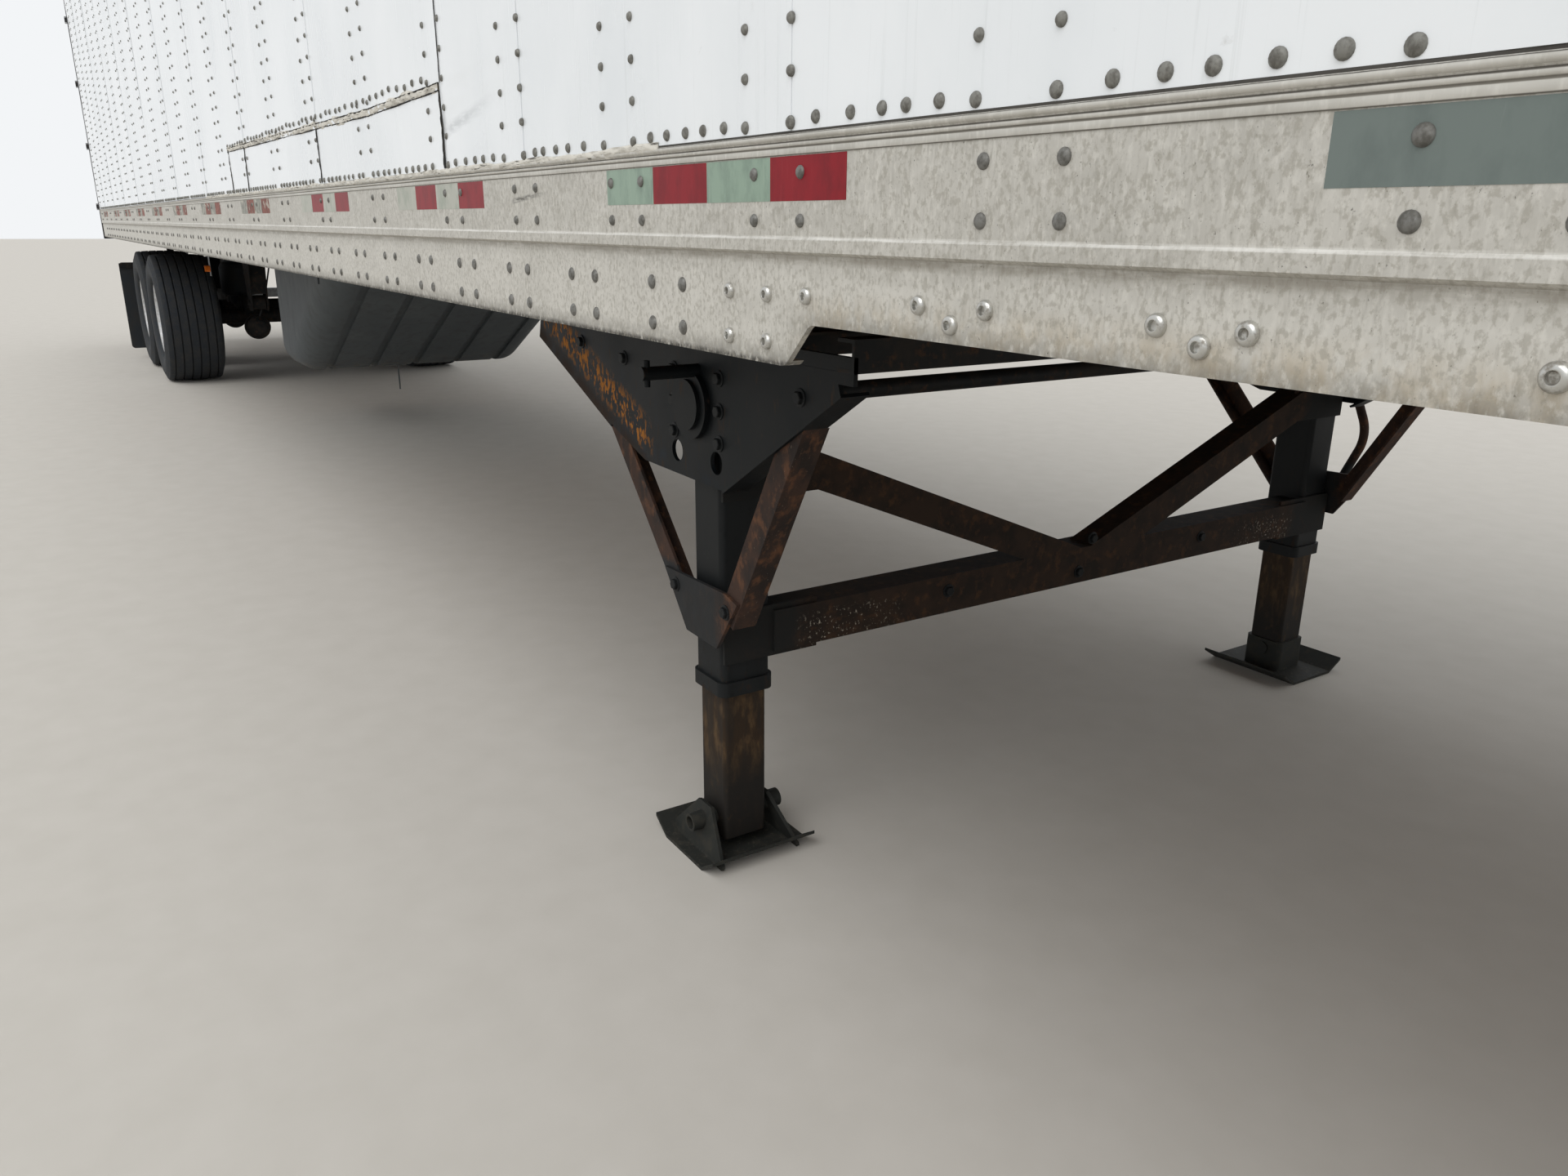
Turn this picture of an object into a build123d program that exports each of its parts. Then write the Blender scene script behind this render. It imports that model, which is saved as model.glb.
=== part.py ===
from build123d import *
from math import atan2, cos, degrees, hypot, radians, sin
import os

# A 53 ft dry van semi trailer with a spread of two wide-base single axles.
# Millimetres. +X is the nose, +Y the left side, +Z up, origin on the ground
# under the middle of the outline.

os.makedirs("parts", exist_ok=True)

# Body shell
body_length = 16154.0
body_width = 2591.0
body_height = 4115.0
end_reach = 60.0
wall_thickness = 45.0
skin_setback = 3.0
nose_radius = 100.0
roof_sheet = 7.0
bow_height = 28.0
bow_width = 50.0
bow_pitch = 610.0
top_rail_height = 150.0

# Side rails and floor
rail_bottom = 1118.0
rail_top = 1392.0
rail_web = 8.0
rail_lip = 25.0
bead_bottom = 1254.0
bead_height = 21.0
bead_depth = 7.0
notch_rise = 55.0
notch_setback = 2895.0
notch_radius = 18.0
beam_bottom = 1125.0
beam_height = 102.0
beam_flange = 57.0
beam_web = 4.0
beam_pitch = 304.8
beam_setback = 60.0
shallow_beam_height = 46.0
deck_thickness = 35.0

# Nose coupling
coupler_length = 1170.0
coupler_bottom = 1165.0
coupler_plate = 10.0
coupler_bar_width = 60.0
coupler_bar_y = 520.0
kingpin_setback = 914.0
kingpin_shoulder_radius = 36.5
kingpin_neck_radius = 25.4
kingpin_flange_radius = 35.7
kingpin_shoulder_length = 35.0
kingpin_neck_length = 35.0
kingpin_flange_length = 14.0

# Rear frame and doors
post_width = 75.0
post_depth = 100.0
sill_bottom = 1100.0
door_thickness = 45.0
door_gap = 8.0
door_centre_gap = 10.0
hinge_aft = 40.0
hinge_side_gap = 6.0
hinge_count = 5
hinge_first_z = 1420.0
hinge_last_z = 3800.0
hinge_eye_radius = 12.0
hinge_pin_radius = 6.0
hinge_pin_clearance = 0.3
lug_height = 40.0
ear_height = 12.0
ear_gap = 1.0
strap_length = 150.0
strap_thickness = 8.0
strap_standoff = 6.0
lock_rod_radius = 13.5
lock_rod_axis = 22.0
lock_rod_places = [330.0, 900.0]
guide_heights = [1950.0, 2900.0]
handle_heights = [1700.0, 1800.0]
handle_end_gap = 60.0
cam_height = 46.0
cam_width = 60.0
keeper_gap = 8.0

# Landing gear
leg_setback = 3582.0
leg_inset = 330.5
leg_tube = 114.0
leg_wall = 6.0
leg_corner = 14.0
slide_gap = 0.3
collar_bottom = 368.0
collar_height = 31.0
collar_proud = 7.0
leg_top = 1060.0
ram_bottom = 34.0
ram_top = 720.0
ram_corner = 10.0
wing_plate_gap = 18.0
wing_plate_thickness = 8.0
wing_flange = 56.0
wing_fold_thickness = 6.0
channel_plate = 6.0
mount_plate_width = 220.0
mount_plate_bottom = 890.0
frame_bottom = 1073.0
shoe_pad = 254.0
shoe_plate = 8.0
shoe_turn_up = 32.0
shoe_ear_height = 104.0
shoe_ear_half_foot = 112.0
shoe_ear_half_top = 26.0
shoe_ear_spread = 98.0
shoe_ear_top = 72.0
stub_radius = 20.0
stub_bore = 14.0
stub_height = 70.0
stub_reach = 110.0
boot_height = 92.0
lower_spacer_width = 80.0
lower_spacer_height = 96.0
lower_spacer_z = 540.0
brace_angle = 52.0
brace_plate = 6.0
cross_angle = 89.0
cross_plate = 8.0
cross_low = 451.0
diagonal_angle = 72.0
diagonal_rise = 354.0
gusset_width = 224.0
gusset_height = 110.0
gear_z = 962.0
gear_radius = 66.0
gear_step = 18.0
gear_flange = 12.0
gear_cap = 8.0
gear_housing_radius = 60.0
gear_housing_depth = 46.0
gear_shaft_radius = 19.0
stub_shaft_radius = 12.5
stub_shaft_ahead = 20.0
stub_shaft_rise = 66.0
stub_shaft_reach = 118.0
cross_pin_radius = 6.0
cross_pin_half = 24.0
crank_radius = 12.5
crank_bend_radius = 120.0
crank_hub_radius = 32.0
crank_hub_width = 26.0

# Wheels and bogie
tyre_radius = 513.0
tyre_width = 445.0
tread_width = 396.0
bead_seat_radius = 286.0
bead_seat_half = 176.0
rim_flange = 20.0
seat_gap = 0.3
wheel_inset = 300.5
rear_axle_setback = 2352.0
axle_spacing = 1245.0
axle_tube_radius = 63.5
spindle_radius = 42.0
spindle_gap = 0.5
drum_radius = 212.0
drum_length = 195.0
hub_face = 15.0
hand_hole_circle = 218.0
hand_hole_count = 10
hand_hole_length = 64.0
hand_hole_width = 30.0
bogie_y = 500.0
bogie_rail_width = 100.0
bogie_rail_bottom = 960.0
slider_web = 8.0
cross_tube = 90.0
slider_lap = 60.0
bogie_ahead = 830.0
bogie_behind = 575.0
slider_ahead = 1580.0
slider_setback = 177.0
hanger_ahead = 560.0
pivot_z = 655.0
pivot_radius = 22.0
arm_width = 96.0
arm_bottom = 585.0
arm_height = 92.0
spring_behind = 340.0
spring_radius = 145.0
spring_seat = 592.0
chamber_ahead = 240.0
chamber_y = 487.0
chamber_z = 437.0
chamber_radius = 102.0
chamber_length = 180.0
tank_ahead = 330.0
tank_z = 900.0
tank_radius = 105.0
tank_half_length = 360.0
tank_strap_places = [-230.0, 200.0]
tank_strap_width = 60.0
tank_strap_thickness = 30.0
flap_behind = 655.0
flap_width = 610.0
flap_bottom = 105.0
flap_top = 905.0
flap_thickness = 8.0

# Moulded air fairing under the floor
tray_half_width = 735.0
tray_ahead = 2870.0
tray_flat = 320.0
tray_ramp = 1525.0
tray_tongue = 410.0
tray_tongue_half_width = 590.0
tray_bottom = 388.0
tray_wall = 8.0
tray_side_radius = 150.0
tray_bend_radius = 260.0
tray_rib_pitch = 270.0
tray_rib_count = 5
tray_rib_width = 46.0
tray_rib_depth = 14.0
drain_radius = 5.0
drain_drop = 155.0
drain_y = -105.0

# Rear guard, bumpers and lamps
guard_half_width = 1150.0
guard_height = 100.0
guard_depth = 100.0
guard_bottom = 460.0
guard_post_y = 560.0
guard_post_width = 76.0
bumper_y = 1150.0
bumper_width = 110.0
bumper_height = 130.0
sill_middle_rise = 75.0
tail_lamp_radius = 52.0
tail_lamp_places = [620.0, 760.0]
header_lamp_places = [-150.0, 0.0, 150.0]
header_lamp_drop = 60.0
lamp_depth = 14.0
side_lamp_ahead = 860.0
side_lamp_y = 862.0
side_lamp_z = 935.0
side_lamp_depth = 34.0
bracket_thickness = 4.0
bracket_bottom = 880.0
bracket_width = 60.0

# Nose connectors
coupling_y = 190.0
connector_z = 1560.0
coupling_drop = 15.0
coupling_radius = 34.0
connector_plate = 20.0
socket_radius = 38.0
socket_bore = 26.0
socket_reach = 54.0

# Values worked out from the driving ones
half_length = body_length / 2
half_width = body_width / 2
floor_top = beam_bottom + beam_height + deck_thickness
inner_half_width = half_width - wall_thickness
side_rear_x = -half_length + post_depth
side_front_x = half_length - nose_radius
side_length = side_front_x - side_rear_x
top_rail_bottom = body_height - top_rail_height
opening_half_width = half_width - post_width
notch_tip_x = half_length - notch_setback
notch_bottom = rail_bottom + notch_rise
beam_half_length = half_width - bead_depth - rail_web
door_bottom = floor_top + 6.0
door_top = top_rail_bottom - 6.0
door_outer_y = opening_half_width - door_gap
hinge_x = -half_length - hinge_aft
hinge_y = half_width + hinge_side_gap
hinge_pitch = (hinge_last_z - hinge_first_z) / (hinge_count - 1)
hinge_heights = [hinge_first_z + n * hinge_pitch for n in range(hinge_count)]
leg_x = half_length - leg_setback
leg_y = half_width - leg_inset
leg_half = leg_tube / 2
ram_half = leg_half - leg_wall - slide_gap
wing_inner_y = leg_y + leg_half + wing_plate_gap
wing_outer_y = wing_inner_y + wing_plate_thickness
bogie_rail_top = beam_bottom - slider_web
bogie_rail_height = bogie_rail_top - bogie_rail_bottom
wheel_y = half_width - wheel_inset
rear_axle_x = -half_length + rear_axle_setback
front_axle_x = rear_axle_x + axle_spacing
axle_places = [front_axle_x, rear_axle_x]
bogie_front_x = front_axle_x + bogie_ahead
bogie_rear_x = rear_axle_x - bogie_behind
slider_front_x = front_axle_x + slider_ahead
slider_rear_x = -half_length + slider_setback
flap_x = rear_axle_x - flap_behind
tray_rear_x = front_axle_x + tray_ahead
tray_low_x = tray_rear_x + tray_flat
tray_front_x = tray_low_x + tray_ramp
axle_names = ["front", "rear"]
side_names = {-1: "right", 1: "left"}


def save(builder, name):
    builder.part.label = name
    export_step(builder.part, f"parts/{name}.step")


def outline_face(points):
    # A closed outline of straight edges, as a face in the current sketch.
    return Polygon(*points, align=None)


def side_plane(y):
    # Sketch (x, z) in the plane at this y; a positive extrusion runs towards +Y.
    return Plane(origin=(0, y, 0), x_dir=(-1, 0, 0), z_dir=(0, 1, 0))


def flip(points):
    # The side plane's x runs backwards, so outlines given as (x, z) are turned.
    return [(-x, z) for x, z in points]


# Side rails: an extrusion with a bead, a lower web and a hollow scuff box above
def bottom_rail(side):
    web_y = half_width - bead_depth
    face_y = half_width - 2
    outline = [
        (web_y, rail_bottom),
        (web_y, bead_bottom),
        (half_width, bead_bottom + 4),
        (half_width, bead_bottom + bead_height - 3),
        (face_y, bead_bottom + bead_height),
        (face_y, rail_top - 10),
        (half_width, rail_top - 7),
        (half_width - 1, rail_top),
        (inner_half_width, rail_top),
        (inner_half_width, floor_top),
        (web_y - rail_web, floor_top),
        (web_y - rail_web, beam_bottom),
        (web_y - rail_lip, beam_bottom),
        (web_y - rail_lip, rail_bottom),
    ]
    chamber_width = wall_thickness - 2 * rail_web
    chamber_height = rail_top - floor_top - 2 * rail_web
    chamber_y = (inner_half_width + face_y - 2) / 2
    chamber_z = (rail_top + floor_top) / 2
    with BuildPart() as rail:
        with BuildSketch(Plane.YZ.offset(side_rear_x)):
            outline_face([(side * y, z) for y, z in outline])
            with Locations((side * chamber_y, chamber_z)):
                Rectangle(chamber_width, chamber_height, mode=Mode.SUBTRACT)
        extrude(amount=side_length)
        # The rail is shallower over the tractor, with a sloped step.
        with BuildSketch(side_plane(side * (half_width - 60))) as notch:
            outline_face(flip([
                (notch_tip_x - 60, rail_bottom),
                (notch_tip_x, rail_bottom),
                (notch_tip_x + notch_rise, notch_bottom),
                (half_length, notch_bottom),
                (half_length, rail_bottom - 30),
                (notch_tip_x - 60, rail_bottom - 30),
            ]))
            tip = notch.vertices().sort_by_distance((-notch_tip_x, rail_bottom, 0))[0]
            top = notch.vertices().sort_by_distance((-notch_tip_x - notch_rise, notch_bottom, 0))[0]
            fillet([tip, top], radius=notch_radius)
        extrude(amount=side * 70, mode=Mode.SUBTRACT)
    return rail


# Sheet and post side wall
def side_wall(side):
    skin_y = half_width - skin_setback
    with BuildPart() as wall:
        with BuildSketch(Plane.YZ.offset(side_rear_x)):
            middle_z = (rail_top + top_rail_bottom) / 2
            with Locations((side * (skin_y + inner_half_width) / 2, middle_z)):
                Rectangle(skin_y - inner_half_width, top_rail_bottom - rail_top)
        extrude(amount=side_length)
    return wall


for side, side_name in side_names.items():
    save(bottom_rail(side), f"bottom_rail_{side_name}")
    save(side_wall(side), f"side_wall_{side_name}")

# Top rails with a rounded upper corner
with BuildPart() as top_rails:
    for side in side_names:
        with BuildSketch(Plane.YZ.offset(side_rear_x)) as section:
            middle_y = (half_width + inner_half_width) / 2
            with Locations((side * middle_y, body_height - top_rail_height / 2)):
                Rectangle(wall_thickness, top_rail_height)
            corner = section.vertices().sort_by(Axis.Z)[-2:].sort_by(Axis.Y)
            fillet(corner[-1] if side > 0 else corner[0], radius=30)
            with Locations((side * (half_width - 24), body_height - 80)):
                Rectangle(26, 96, mode=Mode.SUBTRACT)
        extrude(amount=side_length)
save(top_rails, "top_rails")

# Roof sheet carried on bows
bow_count = int(side_length // bow_pitch)
bow_start = side_rear_x + (side_length - (bow_count - 1) * bow_pitch) / 2
bow_places = [bow_start + n * bow_pitch for n in range(bow_count)]
with BuildPart() as roof:
    with BuildSketch(Plane.XY.offset(body_height - roof_sheet)):
        with Locations(((side_rear_x + side_front_x) / 2, 0)):
            Rectangle(side_length, 2 * inner_half_width)
    extrude(amount=roof_sheet)
    with BuildSketch(Plane.XY.offset(body_height - roof_sheet - bow_height)):
        with Locations(*[(x, 0) for x in bow_places]):
            Rectangle(bow_width, 2 * inner_half_width)
    extrude(amount=bow_height)
save(roof, "roof")

# Laminated floor deck
with BuildPart() as floor_deck:
    with BuildSketch(Plane.XY.offset(floor_top - deck_thickness)):
        front_x = half_length - wall_thickness
        with Locations(((side_rear_x + front_x) / 2, 0)):
            Rectangle(front_x - side_rear_x, 2 * inner_half_width)
        corner_cut = 2 * (nose_radius - wall_thickness)
        for side in side_names:
            with Locations((front_x, side * inner_half_width)):
                Rectangle(corner_cut, corner_cut, mode=Mode.SUBTRACT)
    extrude(amount=deck_thickness)
save(floor_deck, "floor_deck")

# Floor crossmembers: I beams, shallower ahead of the rail notch
coupler_rear_x = half_length - wall_thickness - coupler_length
beam_first_x = side_rear_x + beam_setback
beam_count = int((coupler_rear_x - beam_flange - beam_first_x) // beam_pitch) + 1
beam_places = [beam_first_x + n * beam_pitch for n in range(beam_count)]
deep_beams = [x for x in beam_places if x < notch_tip_x + notch_rise - beam_flange]
shallow_beams = [x for x in beam_places if x > deep_beams[-1]]
beam_middle_z = beam_bottom + beam_height / 2
shallow_middle_z = beam_bottom + beam_height - shallow_beam_height / 2
beam_rows = [
    # places along the floor, height of the section, middle height
    (deep_beams, beam_height, beam_middle_z),
    (shallow_beams, shallow_beam_height, shallow_middle_z),
]
with BuildPart() as crossmembers:
    for places, height, middle_z in beam_rows:
        flange_offset = (height - 2 * beam_web) / 2 + beam_web / 2
        with BuildSketch(side_plane(-beam_half_length)):
            with Locations(*[(-x, middle_z) for x in places]):
                Rectangle(beam_web, height)
            for offset_z in (-flange_offset, flange_offset):
                with Locations(*[(-x, middle_z + offset_z) for x in places]):
                    Rectangle(beam_flange, beam_web)
        extrude(amount=2 * beam_half_length)
save(crossmembers, "crossmembers")

# Nose: a flat wall between two rounded corner posts
nose_bottom = notch_bottom
with BuildPart() as nose_wall:
    with BuildSketch(Plane.XY.offset(nose_bottom)):
        with Locations((half_length - wall_thickness / 2, 0)):
            Rectangle(wall_thickness, 2 * (half_width - nose_radius))
    extrude(amount=body_height - nose_bottom)
save(nose_wall, "nose_wall")

with BuildPart() as nose_corners:
    for side in side_names:
        with BuildSketch(Plane.XY.offset(nose_bottom)):
            with Locations((side_front_x, side * (half_width - nose_radius))):
                Circle(nose_radius)
                Circle(nose_radius - wall_thickness, mode=Mode.SUBTRACT)
            with Locations((side_front_x - nose_radius, side * (half_width - nose_radius))):
                Rectangle(2 * nose_radius, 2 * nose_radius, mode=Mode.SUBTRACT)
            with Locations((side_front_x, side * (half_width - 2 * nose_radius))):
                Rectangle(2 * nose_radius, 2 * nose_radius, mode=Mode.SUBTRACT)
        extrude(amount=body_height - nose_bottom)
save(nose_corners, "nose_corners")

# Upper coupler: a plate under a frame of channels, and the kingpin below it
kingpin_x = half_length - kingpin_setback
coupler_half_width = half_width - nose_radius
coupler_bar_places = [
    coupler_rear_x + 40,
    kingpin_x - 150,
    kingpin_x + 150,
    half_length - wall_thickness - coupler_bar_width,
]
with BuildPart() as upper_coupler:
    with BuildSketch(Plane.XY.offset(coupler_bottom)):
        with Locations((coupler_rear_x + coupler_length / 2, 0)):
            RectangleRounded(coupler_length, 2 * coupler_half_width, 20)
    extrude(amount=coupler_plate)
    with BuildSketch(Plane.XY.offset(coupler_bottom + coupler_plate)):
        for x in coupler_bar_places:
            with Locations((x, 0)):
                Rectangle(coupler_bar_width, 2 * coupler_half_width)
        for y in (-coupler_bar_y, coupler_bar_y):
            with Locations((coupler_rear_x + coupler_length / 2, y)):
                Rectangle(coupler_length - 80, coupler_bar_width)
    extrude(amount=floor_top - deck_thickness - coupler_bottom - coupler_plate)
save(upper_coupler, "upper_coupler")

pin_steps = [
    # radius, length downwards
    (kingpin_shoulder_radius, kingpin_shoulder_length),
    (kingpin_neck_radius, kingpin_neck_length),
    (kingpin_flange_radius, kingpin_flange_length),
]
with BuildPart() as kingpin:
    step_top = coupler_bottom
    for radius, length in pin_steps:
        with BuildSketch(Plane.XY.offset(step_top - length)):
            with Locations((kingpin_x, 0)):
                Circle(radius)
        extrude(amount=length)
        step_top -= length
save(kingpin, "kingpin")


# Rear frame: two posts with welded hinge butts, a header and a sill
def hinge_lug_outline(side):
    # Sketch (x, y): an eye round the pin that runs forward to the post's face.
    return [
        (hinge_x, side * (hinge_y + hinge_eye_radius)),
        (-half_length, side * (half_width - 2)),
        (-half_length, side * (half_width - 24)),
        (hinge_x, side * (hinge_y - hinge_eye_radius)),
    ]


with BuildPart() as rear_posts:
    for side in side_names:
        with BuildSketch(Plane.XY.offset(sill_bottom)):
            with Locations((-half_length + post_depth / 2, side * (half_width - post_width / 2))):
                Rectangle(post_depth, post_width)
        extrude(amount=body_height - sill_bottom)
        for z in hinge_heights:
            with BuildSketch(Plane.XY.offset(z - lug_height / 2)):
                outline_face(hinge_lug_outline(side))
                with Locations((hinge_x, side * hinge_y)):
                    Circle(hinge_eye_radius)
            extrude(amount=lug_height)
            pin_reach = lug_height / 2 + ear_gap + ear_height
            with BuildSketch(Plane.XY.offset(z - pin_reach)):
                with Locations((hinge_x, side * hinge_y)):
                    Circle(hinge_pin_radius)
            extrude(amount=2 * pin_reach)
save(rear_posts, "rear_posts")

rear_bars = [
    # name, bottom, top
    ("rear_header", top_rail_bottom, body_height),
    ("rear_sill", sill_bottom, floor_top),
]
for name, bottom, top in rear_bars:
    with BuildPart() as rear_bar:
        with BuildSketch(Plane.XY.offset(bottom)):
            with Locations((-half_length + post_depth / 2, 0)):
                Rectangle(post_depth, 2 * opening_half_width)
        extrude(amount=top - bottom)
        # Keepers that the lock rods' cams turn behind, open to the rear
        keeper_z = bottom + 8 if name == "rear_header" else top - 8 - cam_height
        with BuildSketch(Plane.XY.offset(keeper_z)):
            for side in side_names:
                for place in lock_rod_places:
                    for shift in (-1, 1):
                        y = side * place + shift * (cam_width / 2 + keeper_gap + 5)
                        with Locations((-half_length - 18, y)):
                            Rectangle(36, 10)
        extrude(amount=cam_height)
    save(rear_bar, name)


# Rear doors: composite panels that swing right round to the side walls
def door_panel(side):
    width = door_outer_y - door_centre_gap / 2
    with BuildPart() as door:
        with BuildSketch(Plane.XY.offset(door_bottom)):
            middle_y = side * (door_outer_y + door_centre_gap / 2) / 2
            with Locations((-half_length + door_thickness / 2, middle_y)):
                Rectangle(door_thickness, width)
        extrude(amount=door_top - door_bottom)
        fillet(door.edges().filter_by(Axis.X), radius=12)
    return door


def door_hardware(side):
    face_x = -half_length
    ear_low = lug_height / 2 + ear_gap
    plate_height = 2 * (ear_low + ear_height)
    strap_front = face_x - strap_standoff
    strap_rear = strap_front - strap_thickness
    with BuildPart() as hardware:
        for z in hinge_heights:
            # Strap plate and its pad on the door
            with BuildSketch(Plane.XY.offset(z - plate_height / 2)):
                outline_face([
                    (strap_front, side * (hinge_y - 34)),
                    (strap_rear, side * (hinge_y - 34)),
                    (strap_rear, side * (door_outer_y - strap_length)),
                    (face_x, side * (door_outer_y - strap_length)),
                    (face_x, side * (door_outer_y - 10)),
                    (strap_front, side * (door_outer_y - 10)),
                ])
            extrude(amount=plate_height)
            # Forked ears above and below the post's lug
            for ear_z in (z - ear_low - ear_height, z + ear_low):
                with BuildSketch(Plane.XY.offset(ear_z)):
                    outline_face([
                        (hinge_x + 6, side * (hinge_y + 10)),
                        (strap_front, side * (hinge_y - 26)),
                        (strap_front, side * (hinge_y - 60)),
                        (strap_rear, side * (hinge_y - 60)),
                        (hinge_x - 9, side * (hinge_y - 8)),
                    ])
                    with Locations((hinge_x, side * hinge_y)):
                        Circle(hinge_eye_radius)
                        Circle(hinge_pin_radius + hinge_pin_clearance, mode=Mode.SUBTRACT)
                extrude(amount=ear_height)
        # Lock rods with a cam at each end, three guides and a folded handle
        rod_x = face_x - lock_rod_axis
        cam_rows = [floor_top - 8 - cam_height, top_rail_bottom + 8]
        for place in lock_rod_places:
            with BuildSketch(Plane.XY.offset(cam_rows[0])):
                with Locations((rod_x, side * place)):
                    Circle(lock_rod_radius)
            extrude(amount=cam_rows[1] + cam_height - cam_rows[0])
            for cam_z in cam_rows:
                with BuildSketch(Plane.XY.offset(cam_z)):
                    with Locations((rod_x, side * place)):
                        Rectangle(26, cam_width)
                extrude(amount=cam_height)
            for guide_z in (door_bottom + 60, *guide_heights, door_top - 130):
                with BuildSketch(Plane.XY.offset(guide_z)):
                    with Locations((face_x - hinge_aft / 2, side * place)):
                        RectangleRounded(hinge_aft, 72, 8)
                extrude(amount=70)
        # Handle bars lie across the door between the two rods
        low_place, high_place = lock_rod_places
        handle_rows = [
            # height, the rod's place, the free end's place
            (handle_heights[0], low_place, high_place - handle_end_gap),
            (handle_heights[1], high_place, low_place + handle_end_gap),
        ]
        for handle_z, start, end in handle_rows:
            with BuildSketch(Plane.XY.offset(handle_z)):
                with Locations((face_x - 28, side * (start + end) / 2)):
                    Rectangle(12, abs(start - end))
            extrude(amount=30)
            with BuildSketch(Plane.XY.offset(handle_z - 10)):
                reach = 80 if end > start else -80
                with Locations((face_x - 17, side * (end - reach))):
                    Rectangle(34, 46)
            extrude(amount=50)
    return hardware


for side, side_name in side_names.items():
    save(door_panel(side), f"door_{side_name}")
    save(door_hardware(side), f"door_hardware_{side_name}")

# Rear underride guard hung from the sill
with BuildPart() as underride_guard:
    guard_top = guard_bottom + guard_height
    with BuildSketch(Plane.YZ.offset(-half_length)):
        with Locations((0, guard_bottom + guard_height / 2)):
            RectangleRounded(2 * guard_half_width, guard_height, 14)
    extrude(amount=guard_depth)
    with BuildSketch(Plane.XY.offset(guard_top)):
        for side in side_names:
            with Locations((-half_length + guard_depth / 2, side * guard_post_y)):
                Rectangle(guard_depth, guard_post_width)
    extrude(amount=sill_bottom - guard_top)
save(underride_guard, "underride_guard")

with BuildPart() as dock_bumpers:
    with BuildSketch(Plane.YZ.offset(-half_length)):
        for side in side_names:
            with Locations((side * bumper_y, sill_bottom + sill_middle_rise)):
                RectangleRounded(bumper_width, bumper_height, 12)
    extrude(amount=-end_reach)
save(dock_bumpers, "dock_bumpers")

# Lamps: four red in the sill, three on the header, amber ones at the bogie
with BuildPart() as tail_lamps:
    with BuildSketch(Plane.YZ.offset(-half_length)):
        for side in side_names:
            for place in tail_lamp_places:
                with Locations((side * place, sill_bottom + sill_middle_rise)):
                    Circle(tail_lamp_radius)
        for place in header_lamp_places:
            with Locations((place, body_height - header_lamp_drop)):
                RectangleRounded(64, 24, 8)
    extrude(amount=-lamp_depth)
save(tail_lamps, "tail_lamps")

with BuildPart() as side_lamps:
    lamp_x = front_axle_x + side_lamp_ahead
    for side in side_names:
        with BuildSketch(side_plane(side * side_lamp_y)):
            with Locations((-lamp_x, side_lamp_z)):
                RectangleRounded(70, 46, 14)
        extrude(amount=side * side_lamp_depth)
save(side_lamps, "side_lamps")

with BuildPart() as lamp_brackets:
    for side in side_names:
        with BuildSketch(side_plane(side * (side_lamp_y - bracket_thickness))):
            with Locations((-lamp_x, (beam_bottom + bracket_bottom) / 2)):
                Rectangle(bracket_width, beam_bottom - bracket_bottom)
        extrude(amount=side * bracket_thickness)
save(lamp_brackets, "lamp_brackets")

# Air couplings and the power socket on the nose
with BuildPart() as front_connectors:
    with BuildSketch(Plane.YZ.offset(half_length)):
        for side in side_names:
            with Locations((side * coupling_y, connector_z)):
                RectangleRounded(90, 130, 16)
    extrude(amount=connector_plate)
    with BuildSketch(Plane.YZ.offset(half_length + connector_plate)):
        for side in side_names:
            with Locations((side * coupling_y, connector_z - coupling_drop)):
                Circle(coupling_radius)
    extrude(amount=end_reach - connector_plate)
save(front_connectors, "air_couplings")

with BuildPart() as power_socket:
    with BuildSketch(Plane.YZ.offset(half_length)):
        with Locations((0, connector_z)):
            RectangleRounded(120, 120, 16)
    extrude(amount=connector_plate)
    with BuildSketch(Plane.YZ.offset(half_length + connector_plate)):
        with Locations((0, connector_z)):
            Circle(socket_radius)
            Circle(socket_bore, mode=Mode.SUBTRACT)
    extrude(amount=socket_reach - connector_plate)
save(power_socket, "power_socket")


# Landing gear: channels under the floor carry the wing plates
above_wing = frame_bottom + 80
wing_outline = [
    # along from the leg, height: rear corner, round the foot, front corner, top
    (leg_x - 775.0, 1031.0),
    (leg_x - 378.0, 869.0),
    (leg_x - 216.0, 817.0),
    (leg_x + 105.0, 813.0),
    (leg_x + 476.0, 1039.0),
    (leg_x + 471.0, 1054.0),
    (leg_x + 511.0, 1054.0),
    (leg_x + 511.0, frame_bottom),
    (leg_x - 762.0, frame_bottom),
]
channel_rows = [
    # front face, depth
    (leg_x - 605.0, 38.0),
    (leg_x - 235.0, 38.0),
    (leg_x + 270.0, 38.0),
    (wing_outline[6][0], 44.0),
]
with BuildPart() as leg_frame:
    for front_x, depth in channel_rows:
        with BuildSketch(side_plane(-wing_outer_y)):
            outline_face(flip([
                (front_x, frame_bottom),
                (front_x, beam_bottom),
                (front_x - depth, beam_bottom),
                (front_x - depth, beam_bottom - channel_plate),
                (front_x - channel_plate, beam_bottom - channel_plate),
                (front_x - channel_plate, frame_bottom + channel_plate),
                (front_x - depth, frame_bottom + channel_plate),
                (front_x - depth, frame_bottom),
            ]))
        extrude(amount=2 * wing_outer_y)
save(leg_frame, "leg_frame")

wing_edges = [
    # lower corner, upper corner, direction of the fold's outer side
    (wing_outline[1], wing_outline[0], -1),
    (wing_outline[3], wing_outline[4], 1),
]


def wing_fold(low, high, toward, depth):
    # Both corners of a sloping edge moved square to it, away from the plate.
    run = hypot(high[0] - low[0], high[1] - low[1])
    square = ((high[1] - low[1]) / run, (low[0] - high[0]) / run)
    return [(x + toward * square[0] * depth, z + toward * square[1] * depth) for x, z in (low, high)]


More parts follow.
